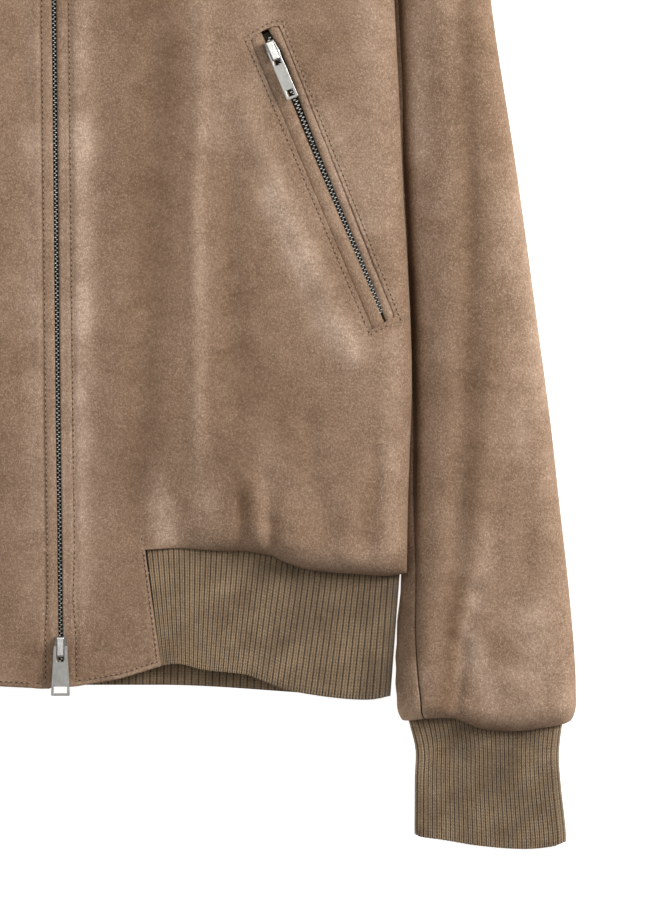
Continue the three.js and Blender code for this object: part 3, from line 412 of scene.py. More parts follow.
def window_point(across, down):
    bow = TOP_BOW * 4 * across * (1 - across) * (1 - down)
    x, h = (
        lerp(
            lerp(WINDOW["top_left"][k], WINDOW["top_right"][k], across),
            lerp(WINDOW["low_left"][k], WINDOW["low_right"][k], across),
            down,
        )
        for k in (0, 1)
    )
    return x + bow * 0.3, h + bow


def along(points, gap, start=0.0):
    """Places a gap apart along a line of points, each with the direction there."""
    found, left = [], start
    for (x0, h0), (x1, h1) in zip(points, points[1:]):
        size = math.hypot(x1 - x0, h1 - h0)
        way = ((x1 - x0) / size, (h1 - h0) / size)
        while left <= size:
            found.append((x0 + way[0] * left, h0 + way[1] * left, *way))
            left += gap
        left -= size
    return found


def stitch_lines(side):
    """The lines of topstitching on a front, each a list of points."""
    def from_zip(h):
        wider = 1.5 * ease(40, 90, h) if side > 0 else 0
        return zip_x(h) * side + ZIP_STITCH + wider + 1.9 * (1 - ease(28, 60, h))

    centre = [(from_zip(h), h) for h in steps(front_hem(9, side) + 3.4, 556, 90)]
    tab_low = front_hem(61, side) + 3.2
    tab = [(lerp(TAB_LOW_X, TAB_TOP_X, t) - 2.2, lerp(tab_low, 92, t)) for t in steps(0, 1, 12)]
    hem = [(x, front_hem(x, side) + 3.0) for x in steps(9.4, TAB_LOW_X - 2.6, 14)]
    pocket = []
    wx, wh = WINDOW_WAY
    for across, down in [*((s, 0) for s in steps(0, 1, 6)), (1, 1), (0, 1), (0, 0)]:
        x, h = window_point(across, down)
        dx, dh = x - WINDOW_MIDDLE[0], h - WINDOW_MIDDLE[1]
        out = math.copysign(POCKET_STITCH, dx * wx + dh * wh)
        up = math.copysign(POCKET_STITCH, -dx * wh + dh * wx)
        pocket.append((x + out * wx - up * wh, h + out * wh + up * wx))
    return {"centre": centre, "tab": tab, "hem": hem, "pocket": pocket}


SIDES = {1: "left", -1: "right"}
LINES = {side: stitch_lines(side) for side in SIDES}
STRAIGHT = ("centre", "tab")
SEWN = {
    side: [[line[0], line[-1]] if name in STRAIGHT else line for name, line in LINES[side].items()]
    for side in SIDES
}


def sewn_relief(x, h, side):
    """How far the cloth sinks along its stitching."""
    if 16 < x < 48 or (x > 70 and not 205 < h < 410):
        return 0.0
    near = min(off_line(*a, *b, x, h) for line in SEWN[side] for a, b in zip(line, line[1:]))
    return -0.55 * math.exp(-((near / 1.5) ** 2)) + 0.25 * math.exp(-(((near - 3) / 2.2) ** 2))


def nap(x, h, seed):
    """Small unevenness of limp suede."""
    p = Vector((x, h, seed * 50))
    return 0.55 * noise.noise(p / 34) + 0.28 * noise.noise(p / 13) + 0.1 * noise.noise(p / 5)


def front_surface(side):
    def edge(h):
        return zip_x(h) * side + ZIP_EDGE

    def low(a):
        x = lerp(edge(TAB_TOP), body_side(BODY_LOW), a)
        return x, suede_line(x)

    def top(a):
        return top_point(a, NECK_FRONT, edge(NECK_FRONT))

    def left(b):
        h = lerp(TAB_TOP, NECK_FRONT, b)
        return edge(h), h

    def at(u, v):
        b0 = clamp(v)
        above = ease(ARMPIT_B - 0.03, ARMPIT_B + 0.03, b0)
        roll = lerp(FRONT_ROLL, 5, above) / lerp(208, 215, b0)
        turn = quarter((u - FRONT_U_FLAT) / (1 - FRONT_U_FLAT))
        if u < FRONT_U_TAB:
            a = u / FRONT_U_TAB * TAB_SHARE
        elif u < FRONT_U_FLAT:
            a = lerp(TAB_SHARE, 1 - roll, (u - FRONT_U_TAB) / (FRONT_U_FLAT - FRONT_U_TAB))
        else:
            a = 1 - roll * (1 - math.sin(turn))
        top_roll = lerp(4, 14, ease(HPS_A - 0.08, HPS_A + 0.12, a)) / FRONT_LONG
        low_roll = LINE_ROLL / FRONT_LONG
        down = quarter((FRONT_V_LOW - v) / FRONT_V_LOW)
        up = quarter((v - FRONT_V_HIGH) / (1 - FRONT_V_HIGH))
        if v < 0:
            b = 0.0
        elif v < FRONT_V_LOW:
            b = low_roll * (1 - math.sin(down))
        elif v < FRONT_V_HIGH:
            b = lerp(low_roll, 1 - top_roll, (v - FRONT_V_LOW) / (FRONT_V_HIGH - FRONT_V_LOW))
        else:
            b = 1 - top_roll * (1 - math.sin(up))
        x, h = planform(a, b, low, top, left, side_point)
        if v < 0:
            x = lerp(x, lerp(edge(0), TAB_LOW_X, a / TAB_SHARE), -v)
            h = lerp(h, front_hem(x, side), -v)
        flat = front_height(x, h, side) + sewn_relief(x, h, side) + nap(x, h, side)
        s = clamp((b - ARMPIT_B) / (1 - ARMPIT_B))
        side_z = sleeve_top(0, s, ARMHOLE_LENGTH) if b > ARMPIT_B else SIDE_SEAM_Z
        z = lerp(side_z, flat, math.cos(turn))
        if 0 <= v < FRONT_V_LOW:
            rolled = ease(TAB_TOP_X + 4, TAB_TOP_X + 22, x)
            z = lerp(lerp(TAB_Z, LINE_Z, rolled), z, math.cos(down))
        if v > FRONT_V_HIGH:
            edge_z = (
                10 + (NECK_Z - 10) * math.cos(quarter(a / HPS_A)) if a < HPS_A else shoulder_z(a)
            )
            z = lerp(edge_z, z, math.cos(up))
        off = x - edge(h)
        z -= 0.9 * (1 - math.sqrt(1 - (1 - clamp(off / 1.6)) ** 2))
        return x, h, z

    return at


def cloth_height(x, h, side):
    """Height of the front's face away from its rolled edges."""
    flat = front_height(x, h, side)
    reach = clamp((body_side(h) - x) / FRONT_ROLL)
    return lerp(SIDE_SEAM_Z, flat, math.sqrt(1 - (1 - reach) ** 2))


# Mesh helpers

def grid_of(surface, us, vs, side=1, nap_and_painted_light_of=None):
    """A grid laid on a surface of (u, v) in millimetres, with its own u and v kept as a map."""
    bm = bmesh.new()
    tone = bm.verts.layers.float.new("tone") if nap_and_painted_light_of is not None else None
    nu, nv = len(us) - 1, len(vs) - 1
    bmesh.ops.create_grid(bm, x_segments=nu, y_segments=nv, size=0.5)
    uv = bm.loops.layers.uv.new("Cloth")
    for face in bm.faces:
        for loop in face.loops:
            x, y = loop.vert.co.x + 0.5, loop.vert.co.y + 0.5
            loop[uv].uv = (us[round(x * nu)], vs[round(y * nv)])
    for vert in bm.verts:
        i, j = round((vert.co.x + 0.5) * nu), round((vert.co.y + 0.5) * nv)
        x, h, z = surface(us[i], vs[j])
        vert.co = spot(x * side, h, z)
        # The tone kept on each vertex: painted light and shade, partly the nap's own tone
        if tone:
            vert[tone] = nap_and_painted_light_of(us[i], vs[j], abs(x), h)
    if side < 0:
        bmesh.ops.reverse_faces(bm, faces=bm.faces)
    return bm


def set_out(name, data):
    """Puts a mesh, a light or a camera into the scene."""
    made = bpy.data.objects.new(name, data)
    bpy.context.scene.collection.objects.link(made)
    return made


def mesh_of(bm, name, finish, smooth=True):
    mesh = bpy.data.meshes.new(name)
    bm.to_mesh(mesh)
    bm.free()
    mesh.materials.append(finish)
    for polygon in mesh.polygons:
        polygon.use_smooth = smooth
    return set_out(name, mesh)


def piece_of(bm, name, finish, slot, *nodes, body="jacket", smooth=True, thick=0):
    """A finished piece of the jacket, in place of the nodes that it stands for."""
    piece = mesh_of(bm, name, finish, smooth)
    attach(piece, body)
    if thick:
        wall = piece.modifiers.new("wall", "SOLIDIFY")
        wall.thickness = thick * MM
        wall.offset = -1
        wall.use_even_offset = False
    if nodes:
        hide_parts(*nodes)
    return piece


# Finishes

class Link:
    """A socket that can be used in sums."""

    def __init__(self, finish, socket):
        self.finish, self.socket = finish, socket

    def sum(self, operation, first, second):
        return self.finish.node("ShaderNodeMath", {"operation": operation}, {0: first, 1: second})

    def __add__(self, other):
        return self.sum("ADD", self, other)

    __radd__ = __add__

    def __mul__(self, other):
        return self.sum("MULTIPLY", self, other)

    __rmul__ = __mul__

    def __sub__(self, other):
        return self.sum("SUBTRACT", self, other)

    def __rsub__(self, other):
        return self.sum("SUBTRACT", other, self)

    def __pow__(self, other):
        return self.sum("POWER", self, other)


class Finish:
    """A material under construction."""

    def __init__(self, name, **constants):
        self.material = bpy.data.materials.new(name)
        self.material.use_nodes = True
        self.tree = self.material.node_tree
        self.tree.nodes.clear()
        self.shader = self.tree.nodes.new("ShaderNodeBsdfPrincipled")
        output = self.tree.nodes.new("ShaderNodeOutputMaterial")
        self.tree.links.new(self.shader.outputs[0], output.inputs["Surface"])
        for key, value in constants.items():
            socket = key.replace("_", " ").title().replace("Ior", "IOR")
            self.shader.inputs[socket].default_value = value

    def node(self, kind, settings=None, values=None, out=0):
        made = self.tree.nodes.new(kind)
        for key, value in (settings or {}).items():
            setattr(made, key, value)
        for key, value in (values or {}).items():
            if isinstance(value, Link):
                self.tree.links.new(value.socket, made.inputs[key])
            else:
                made.inputs[key].default_value = value
        return Link(self, made.outputs[out])

    def feed(self, name, link):
        self.tree.links.new(link.socket, self.shader.inputs[name])

    def place(self, scale=(1, 1, 1), turn=(0, 0, 0)):
        co = self.node("ShaderNodeTexCoord", out=3)
        return self.node("ShaderNodeMapping", {}, {"Vector": co, "Scale": scale, "Rotation": turn})

    def cloud(self, where, scale, detail=2.0, rough=0.5, warp=0.0):
        return self.node(
            "ShaderNodeTexNoise", {"noise_dimensions": "3D"},
            {"Vector": where, "Scale": scale, "Detail": detail, "Roughness": rough, "Distortion": warp},
        )

    def spread(self, value, low, high, to_low=0.0, to_high=1.0):
        return self.node(
            "ShaderNodeMapRange", {"clamp": True},
            {"Value": value, "From Min": low, "From Max": high, "To Min": to_low, "To Max": to_high},
        )

    def blend(self, share, first, second):
        mixed = {"data_type": "RGBA", "blend_type": "MIX"}
        return self.node("ShaderNodeMix", mixed, {0: share, 6: first, 7: second}, out=2)

    def attribute(self, name):
        """A value kept on the vertices of a piece."""
        kept = {"attribute_name": name, "attribute_type": "GEOMETRY"}
        return self.node("ShaderNodeAttribute", kept, out=2)

    def only(self, operation, value):
        return self.node("ShaderNodeMath", {"operation": operation}, {0: value})

    def bump(self, height, strength, distance):
        return self.node(
            "ShaderNodeBump", {}, {"Height": height, "Strength": strength, "Distance": distance}
        )


def srgb(r, g, b):
    """A colour in 0 to 255, as the shader's linear values."""
    def line(c):
        c /= 255
        return c / 12.92 if c <= 0.04045 else ((c + 0.055) / 1.055) ** 2.4

    return (line(r), line(g), line(b), 1.0)


def suede_finish():
    f = Finish(
        "suede", sheen_weight=0.28, sheen_roughness=0.5, sheen_tint=srgb(214, 186, 160),
        specular_ior_level=0.08,
    )
    where = f.place()
    wide = f.cloud(where, 20, 3.0, 0.55, 0.4)
    patch = f.cloud(where, 85, 4.0, 0.6, 0.6)
    mottle = f.cloud(where, 700, 3.0, 0.6, 0.4)
    strands = f.cloud(f.place((2300, 1100, 1600), (0, 0, 0.5)), 1.0, 2.0, 0.6, 0.9)
    fibre = f.cloud(where, 2600, 2.0, 0.6)
    tone = wide * 0.4 + patch * 0.6
    cloudy = f.blend(f.spread(tone, 0.3, 0.7), srgb(128, 101, 79), srgb(162, 133, 110))
    speck = f.spread(mottle * 0.4 + strands * 0.6, 0.37, 0.64)
    dark = f.blend(f.spread(speck, 0.0, 0.55, 0.42, 0.0), cloudy, srgb(92, 70, 52))
    light = f.blend(f.spread(speck, 0.5, 1.0, 0.0, 0.5), dark, srgb(204, 176, 150))
    # Painted light and shade from the tone attribute: it scales the colour, redder in the painted shade and
    # bluer in the painted light
    shade = f.spread(f.attribute("tone"), -0.95, 0.75, 0.08, 1.72)
    tint = f.node("ShaderNodeCombineXYZ", {}, {0: shade, 1: shade**1.18, 2: shade**1.4})
    shaded = f.node("ShaderNodeVectorMath", {"operation": "MULTIPLY"}, {0: light, 1: tint})
    f.feed("Base Color", shaded)
    f.feed("Roughness", f.spread(patch, 0.3, 0.7, 0.86, 1.0))
    height = strands * 0.7 + mottle * 0.7 + fibre * 0.3
    f.feed("Normal", f.bump(height, 0.5, 0.0008))
    return f.material


def rib_finish():
    """Rib knit: u counts the columns of stitches and v runs along them in rows."""
    f = Finish("rib_knit", sheen_weight=0.25, sheen_roughness=0.6, specular_ior_level=0.15)
    uv = f.node("ShaderNodeUVMap", {"uv_map": "Knit"})
    across, up = (f.node("ShaderNodeSeparateXYZ", {}, {0: uv}, out=k) for k in (0, 1))
    arm = f.only("ABSOLUTE", f.only("FRACT", across) - 0.5)
    loop = f.only("ABSOLUTE", f.only("FRACT", up - arm * 0.9) - 0.5)
    where = f.place()
    fuzz = f.cloud(where, 900, 3.0, 0.7)
    patch = f.cloud(where, 60, 3.0, 0.6)
    tone = f.spread(patch * 0.5 + fuzz * 0.6, 0.35, 0.75)
    yarn = f.blend(tone, srgb(114, 92, 67), srgb(182, 155, 122))
    # Painted shade: darker between the loops and in the split of each rib, near black in the valleys between
    # ribs, and darker again where the tone attribute holds painted shade from the listed bands
    shaded = f.blend(f.spread(loop, 0.3, 0.5) * 0.45, yarn, srgb(82, 64, 45))
    split = f.blend(f.spread(arm, 0.36, 0.5) * 0.35, shaded, srgb(84, 67, 47))
    painted_valley_shade = srgb(40, 29, 19)
    ribbed = f.blend(f.attribute("valley"), split, painted_valley_shade)
    f.feed("Base Color", f.blend(f.spread(f.attribute("tone"), -0.6, 0.0, 0.6, 0.0), ribbed, painted_valley_shade))
    f.feed("Roughness", f.spread(fuzz, 0.3, 0.7, 0.8, 1.0))
    height = (0.5 - loop) * 0.7 + (0.5 - arm) * 0.9 + fuzz * 0.35
    f.feed("Normal", f.bump(height, 0.8, 0.0006))
    return f.material


def metal_finish(name, dark, light, rough=(0.22, 0.4)):
    f = Finish(name, metallic=1.0)
    where = f.place()
    wear = f.cloud(where, 260, 4.0, 0.6)
    streaks = f.cloud(f.place((1500, 180, 400)), 1.0, 2.0, 0.5)
    f.feed("Base Color", f.blend(f.spread(wear * 0.6 + streaks * 0.4, 0.35, 0.65), dark, light))
    f.feed("Roughness", f.spread(streaks, 0.3, 0.7, *rough))
    f.feed("Normal", f.bump(streaks * 0.6 + wear * 0.4, 0.12, 0.0002))
    return f.material


def thread_finish(name, dark, light):
    f = Finish(name, sheen_weight=0.2, specular_ior_level=0.2)
    twist = f.cloud(f.place((1800, 1800, 1800)), 1.0, 2.0)
    f.feed("Base Color", f.blend(f.spread(twist, 0.35, 0.65), dark, light))
    f.feed("Roughness", f.spread(twist, 0.3, 0.7, 0.65, 0.9))
    f.feed("Normal", f.bump(twist, 0.4, 0.0003))
    return f.material


def tape_finish():
    f = Finish("zip_tape", specular_ior_level=0.15)
    where = f.place()
    rows = f.node(
        "ShaderNodeTexWave", {"wave_type": "BANDS", "bands_direction": "Y"},
        {"Vector": where, "Scale": 520.0, "Distortion": 0.6, "Detail": 1.0},
    )
    fuzz = f.cloud(where, 1200, 2.0)
    # Near-black colours: the tape's own dark weave, darkened further with painted shade between the teeth
    f.feed("Base Color", f.blend(rows * 0.6 + fuzz * 0.4, srgb(34, 29, 25), srgb(62, 52, 43)))
    f.feed("Roughness", f.spread(fuzz, 0.3, 0.7, 0.8, 0.98))
    f.feed("Normal", f.bump(rows + fuzz * 0.5, 0.5, 0.0004))
    return f.material


SUEDE = suede_finish()
RIB = rib_finish()
METAL = metal_finish("satin_metal", srgb(168, 166, 161), srgb(192, 190, 185), (0.3, 0.42))
TOOTH = metal_finish("zip_teeth", srgb(150, 152, 150), srgb(226, 228, 224), (0.16, 0.3))
# The slider's bridge and body are the pull's metal, painted as lit and shaded copies: a painted highlight on
# the bridge, painted shade on the body
LIT_BRIDGE_METAL = metal_finish("lit_bridge_metal", srgb(196, 194, 188), srgb(232, 230, 225), (0.14, 0.24))
SHADED_SLIDER_METAL = metal_finish("slider_body", srgb(112, 110, 105), srgb(150, 148, 143), (0.25, 0.4))
THREAD = thread_finish("thread", srgb(150, 122, 98), srgb(188, 160, 134))
# Dark discs at the needle holes: painted shade in the holes
NEEDLE_HOLE_SHADE = thread_finish("needle_hole_shade", srgb(72, 55, 41), srgb(94, 74, 57))
TAPE = tape_finish()

# Fronts

def offsets_to_u(places):
    """Columns of a front that lie these distances from its zip edge."""
    return [x / FRONT_WIDE / TAB_SHARE * FRONT_U_TAB for x in places]


TAB_US = joined(
    offsets_to_u([0, 0.4, 1, 1.8, 2.8, 3.8, 4.8, 5.8, 6.8, 7.8, 8.8, 10]),
    steps(offsets_to_u([10])[0], FRONT_U_TAB, 24),
)
FRONT_US = joined(TAB_US, steps(FRONT_U_TAB, FRONT_U_FLAT, 76), steps(FRONT_U_FLAT, 1, 12))
TAB_VS = joined(steps(-1, -0.85, 10), steps(-0.85, 0, 34))
FRONT_VS = joined(
    TAB_VS, steps(0, FRONT_V_LOW, 10), steps(FRONT_V_LOW, FRONT_V_HIGH, 236), steps(FRONT_V_HIGH, 1, 9)
)


def cut_window(bm, side):
    """Cuts the pocket's window out of a front along its exact edges."""
    ring = [window_point(s, 0) for s in steps(0, 1, 5)] + [window_point(1, 1), window_point(0, 1)]
    ring = [(x * side, h - MIDDLE) for x, h in ring]
    for (x0, y0), (x1, y1) in zip(ring, ring[1:] + ring[:1]):
        size = math.hypot(x1 - x0, y1 - y0)
        way = ((x1 - x0) / size, (y1 - y0) / size)
        near = []
        for face in bm.faces:
            c = face.calc_center_median() / MM
            on = (c.x - x0) * way[0] + (c.y - y0) * way[1]
            off = abs((c.x - x0) * way[1] - (c.y - y0) * way[0])
            if off < 5 and -5 < on < size + 5:
                near.append(face)
        parts = list({v for f in near for v in f.verts}) + list({e for f in near for e in f.edges})
        bmesh.ops.bisect_plane(
            bm, geom=parts + near, dist=1e-7, plane_co=Vector((x0, y0, 0)) * MM,
            plane_no=Vector((way[1], -way[0], 0)),
        )
    inside = []
    for face in bm.faces:
        c = face.calc_center_median() / MM
        turns = [
            (x1 - x0) * (c.y - y0) - (y1 - y0) * (c.x - x0)
            for (x0, y0), (x1, y1) in zip(ring, ring[1:] + ring[:1])
        ]
        if all(t < 0 for t in turns) or all(t > 0 for t in turns):
            inside.append(face)
    bmesh.ops.delete(bm, geom=inside, context="FACES")


for side, name in SIDES.items():
    # The fronts' colour carries painted light and shade from their bands
    bm = grid_of(front_surface(side), FRONT_US, FRONT_VS, side, lambda u, v, x, h: streaks(side, x, h))
    uv = bm.loops.layers.uv["Cloth"]
    beside_tab = []
    for face in bm.faces:
        u, v = (sum(loop[uv].uv[k] for loop in face.loops) / 4 for k in (0, 1))
        if u > FRONT_U_TAB and v < 0:
            beside_tab.append(face)
    bmesh.ops.delete(bm, geom=beside_tab, context="FACES")
    cut_window(bm, side)
    piece_of(bm, f"suede_front_{name}", SUEDE, "suede", f"front_{name}", thick=WALL)

# Back

BACK_U = 0.72


def back_surface(u, v):
    side = -1 if u < 0 else 1
    w = abs(u)
    b0 = clamp(v)
    above = ease(ARMPIT_B - 0.05, ARMPIT_B + 0.05, b0)
    roll = lerp(BACK_ROLL, 26, above) / SHOULDER[0]
    turn = quarter((w - BACK_U) / (1 - BACK_U))
    a = w / BACK_U * (1 - roll) if w < BACK_U else 1 - roll * (1 - math.sin(turn))
    top_roll = 22 / 520
    up = quarter((v - FRONT_V_HIGH) / (1 - FRONT_V_HIGH))
    b = v / FRONT_V_HIGH * (1 - top_roll) if v < FRONT_V_HIGH else 1 - top_roll * (1 - math.sin(up))
    x, h = planform(
        a, b, lambda t: (t * body_side(BODY_LOW), BODY_LOW), lambda t: top_point(t, NECK_BACK),
        lambda t: (0, lerp(BODY_LOW, NECK_BACK, t)), side_point,
    )
    s = clamp((b - ARMPIT_B) / (1 - ARMPIT_B))
    corner = lerp(LINE_Z - 1, SIDE_SEAM_Z, ease(0, 0.05, b))
    side_z = (sleeve_under(0, s, ARMHOLE_LENGTH) if b > ARMPIT_B else corner) - 0.8
    z = max(0, side_z) * (1 - math.cos(turn))
    edge_z = (shoulder_z(a) - 1.2) * ease(HPS_A - 0.2, HPS_A, a)
    z = lerp(max(z, edge_z), z, math.cos(up))
    flat = 1 - ease(0, 3, z)
    z += 0.5 * flat * (0.5 + 0.5 * noise.noise(Vector((x * side, h, 400)) / 30))
    return x * side, h, z


back_us = joined(steps(-1, -BACK_U, 18), steps(-BACK_U, BACK_U, 90), steps(BACK_U, 1, 18))
# The back's colour carries painted light and shade from the right front's bands
bm = grid_of(
    lambda u, v: back_surface(-u, v), back_us,
    joined(steps(0, FRONT_V_HIGH, 170), steps(FRONT_V_HIGH, 1, 14)),
    nap_and_painted_light_of=lambda u, v, x, h: streaks(-1, x, h),
)
back = piece_of(bm, "suede_back", SUEDE, "suede", "back", thick=WALL)

# Sleeves

SLEEVE_END_Z = 11
SEAM_SHARE = 0.002
UNDER_START = 1.09


def sleeve_span(v):
    ix, ih, ox, oh = (sleeve_at[name](v) for name in ("ix", "ih", "ox", "oh"))
    return math.hypot(ox - ix, oh - ih)


def seam_t(v):
    v = min(v, SLEEVE_LAST)
    length = sleeve_span(v)
    out = max(0.2, sleeve_at["out_run"](v) / length)
    return 0.6 * sleeve_seam(v) / length / (1 - out)


def sleeve_surface(t, v, side=1):
    end = quarter((v - SLEEVE_LAST) / (1 - SLEEVE_LAST))
    at = min(v, SLEEVE_LAST)
    tuck = 4 * (1 - math.cos(end))
    clear = ARMHOLE_GAP * (1 - ease(0, 0.04, at))
    ix, ih, ox, oh = (sleeve_at[name](at) for name in ("ix", "ih", "ox", "oh"))
    ix, ox = ix + tuck + clear, ox - tuck + clear
    length = math.hypot(ox - ix, oh - ih)
    over = t <= 1
    w = t if over else 2 - t
    out = max(0.2, sleeve_at["out_run"](at) / length)
    s = 1 - out * (1 - math.sin(quarter((w - 0.6) / 0.4))) if w > 0.6 else w / 0.6 * (1 - out)
    x, h = lerp(ix, ox, s), lerp(ih, oh, s)
    z = sleeve_top(at, s, length) if over else sleeve_under(at, s, length)
    middle = max(0.0, math.sin(math.pi * clamp(s))) ** 0.6
    if over:
        z += (fold_height(FOLDS[SLEEVE], x, h) + nap(x, h, 3 + side)) * middle * math.cos(end)
        seam = abs(w - seam_t(v)) * length
        z -= 0.9 * math.exp(-((seam / 1.6) ** 2)) * ease(0, 0.06, v)
    if v > SLEEVE_LAST:
        line = sleeve_line(x) if over else -18
        h -= (h - line) * math.sin(end)
        fold = 0.35 * lerp(sleeve_at["in_z"](at), sleeve_at["out_z"](at), s)
        rim = SLEEVE_END_Z * math.sqrt(1 - (1 - clamp((0.5 - abs(s - 0.5)) * length / 9)) ** 2)
        z = lerp(max(rim, fold), z, math.cos(end)) if over else z * lerp(0.35, 1, math.cos(end))
    return x, h, z


SLEEVE_VS = joined(steps(0, 0.9, 180), steps(0.9, SLEEVE_LAST, 14), steps(SLEEVE_LAST, 1, 12))
for side, name in SIDES.items():
    upper_us = joined(steps(0, 0.5, 34), steps(0.5, 1, 30))
    # The upper sleeve's colour carries painted light and shade, with a painted shadow beside the body
    bm = grid_of(
        lambda u, v: sleeve_surface(lerp(seam_t(v) + SEAM_SHARE * 2, 1, 1 - u), v, side),
        [1 - u for u in reversed(upper_us)], SLEEVE_VS, side, sleeve_nap_and_painted_shade,
    )
    piece_of(
        bm, f"suede_sleeve_{name}_upper", SUEDE, "suede", f"sleeve_{name}_upper", thick=WALL
    )

    def under_surface(u, v):
        t = lerp(UNDER_START, 2 + seam_t(v) - SEAM_SHARE, 1 - u)
        return sleeve_surface(t - 2 if t > 2 else t, v, side)

    under_us = joined(steps(0, 0.3, 12), steps(0.3, 0.78, 20), steps(0.78, 1, 26))
    # The under sleeve's colour carries painted light and shade from the sleeve's bands
    bm = grid_of(
        under_surface, [1 - u for u in reversed(under_us)], SLEEVE_VS, side,
        lambda u, v, x, h: streaks(SLEEVE, x, h),
    )
    piece_of(
        bm, f"suede_sleeve_{name}_under", SUEDE, "suede", f"sleeve_{name}_under", thick=WALL
    )

# Ribbed trims

RIB_RAISE = 0.75
RIB_SUNK = 0.3  # the share of a rib's height that lies below the plain surface
PER_RIB = 8
RIB_STEPS = 14
UNDERSIDE = 5
STITCH_ROWS, COLLAR_ROWS = 42, 30


def rib_profile(share):
    """Two stitch columns side by side, with a deep valley at each side of the pair. share is 0 to 1."""
    across = min(share, 1 - share) * 2
    return ease(0.0, 0.34, across) - 0.28 * math.exp(-(((across - 1) / 0.16) ** 2))


def knit(bm, rows):
    """Adds the knit's map, its painted shade from the listed bands and the depth of its valleys, which sets
    their painted shade. u counts ribs.
    """
    uv = bm.loops.layers.uv["Cloth"]
    stitch = bm.loops.layers.uv.new("Knit")
    painted_valley_shade = bm.verts.layers.float.new("valley")
    tone = bm.verts.layers.float.new("tone")
    for vert in bm.verts:
        on_top = vert.co.z > UNDERSIDE * MM
        # Painted shade from the rib's bands, on its upper face only
        vert[tone] = streaks(KNIT, abs(vert.co.x) / MM, vert.co.y / MM + MIDDLE) if on_top else 0.0
    for face in bm.faces:
        for loop in face.loops:
            u, v = loop[uv].uv
            loop[stitch].uv = (u * 2, v * rows)
            loop.vert[painted_valley_shade] = 1 - clamp(rib_profile(u % 1))
    return bm


def raised(surface, lift):
    """A surface with ribs standing on it along its normal, by the share that lift gives."""
    def at(u, v):
        p = surface(u, v)
        a, b = surface(u - 0.2, v), surface(u + 0.2, v)
        normal = (-(b[2] - a[2]), b[0] - a[0])
        size = math.hypot(*normal) or 1
        rise = RIB_RAISE * (rib_profile(u % 1) - RIB_SUNK) * lift(u)
        return p[0] + normal[0] / size * rise, p[1], p[2] + normal[1] / size * rise

    return at


HEM_RIBS = 44
HEM_ROLL_RIBS = 6
HEM_UNDER = 46
HEM_RIB_Z, HEM_RIB_ROLL, HEM_LEAN = 13, 6.5, 11.5
HEM_HALF = HEM_RIBS + HEM_ROLL_RIBS + HEM_UNDER


def hem_rib_surface(u, v):
    """u counts ribs from the left tab, over the top, round the side, and along the back."""
    side = 1 if u < HEM_HALF else -1
    k = min(u, 2 * HEM_HALF - u)
    tab_top = lerp(zip_x(TAB_TOP) * side + ZIP_EDGE, body_side(BODY_LOW), TAB_SHARE)
    tab_x = lerp(TAB_LOW_X, tab_top, v) + 0.3
    outer = lerp(199.2, 204.8, v)
    on_front = math.sin(math.pi * k / HEM_RIBS) ** 0.8 if 0 < k < HEM_RIBS else 0
    lean = HEM_LEAN * (1 - v) * on_front
    wave = 0.5 * noise.noise(Vector((k * side, v * 6, 9)) / 5)
    if k <= HEM_RIBS:
        x, z, level = lerp(tab_x, outer - HEM_RIB_ROLL, k / HEM_RIBS) - lean, HEM_RIB_Z + wave, 1.0
        z -= 1.3 * ease(0.9, 1.0, v) * ease(0, 30, x - tab_x)
    elif k <= HEM_RIBS + HEM_ROLL_RIBS:
        turn = math.pi * (k - HEM_RIBS) / HEM_ROLL_RIBS
        x = outer - HEM_RIB_ROLL + HEM_RIB_ROLL * math.sin(turn)
        level = 0.5 + 0.5 * math.cos(turn)
        z = HEM_RIB_Z * level + wave * level
    else:
        x, z, level = lerp(outer - HEM_RIB_ROLL, 0, (k - HEM_RIBS - HEM_ROLL_RIBS) / HEM_UNDER), 0.0, 0.0
    low_back = lerp(2.4, -4, ease(60, 190, x))
    top_front = max(suede_line(x) + 4, BODY_LOW + 2) if level == 1 else BODY_LOW - 0.3
    low = lerp(low_back, front_hem(x, side), level)
    return x * side, lerp(low, top_front, v), z


def hem_lift(u):
    return 1 - ease(HEM_RIBS + 2.5, HEM_RIBS + 4, min(u, 2 * HEM_HALF - u))


hem_us = steps(0, HEM_HALF * 2, HEM_HALF * 2 * PER_RIB)
bm = knit(grid_of(raised(hem_rib_surface, hem_lift), hem_us, steps(0, 1, RIB_STEPS)), STITCH_ROWS)
hem_band = piece_of(bm, "rib_hem", RIB, "rib", "hem_rib", thick=RIB_WALL)

CUFF_RIBS = 30
CUFF_SIDE_RIBS = 4
CUFF_UNDER_RIBS = 30
CUFF_TOTAL = CUFF_RIBS + CUFF_SIDE_RIBS * 2 + CUFF_UNDER_RIBS
CUFF_Z, CUFF_ROLL, CUFF_UNDER_TOP = 10, 5, -18.4


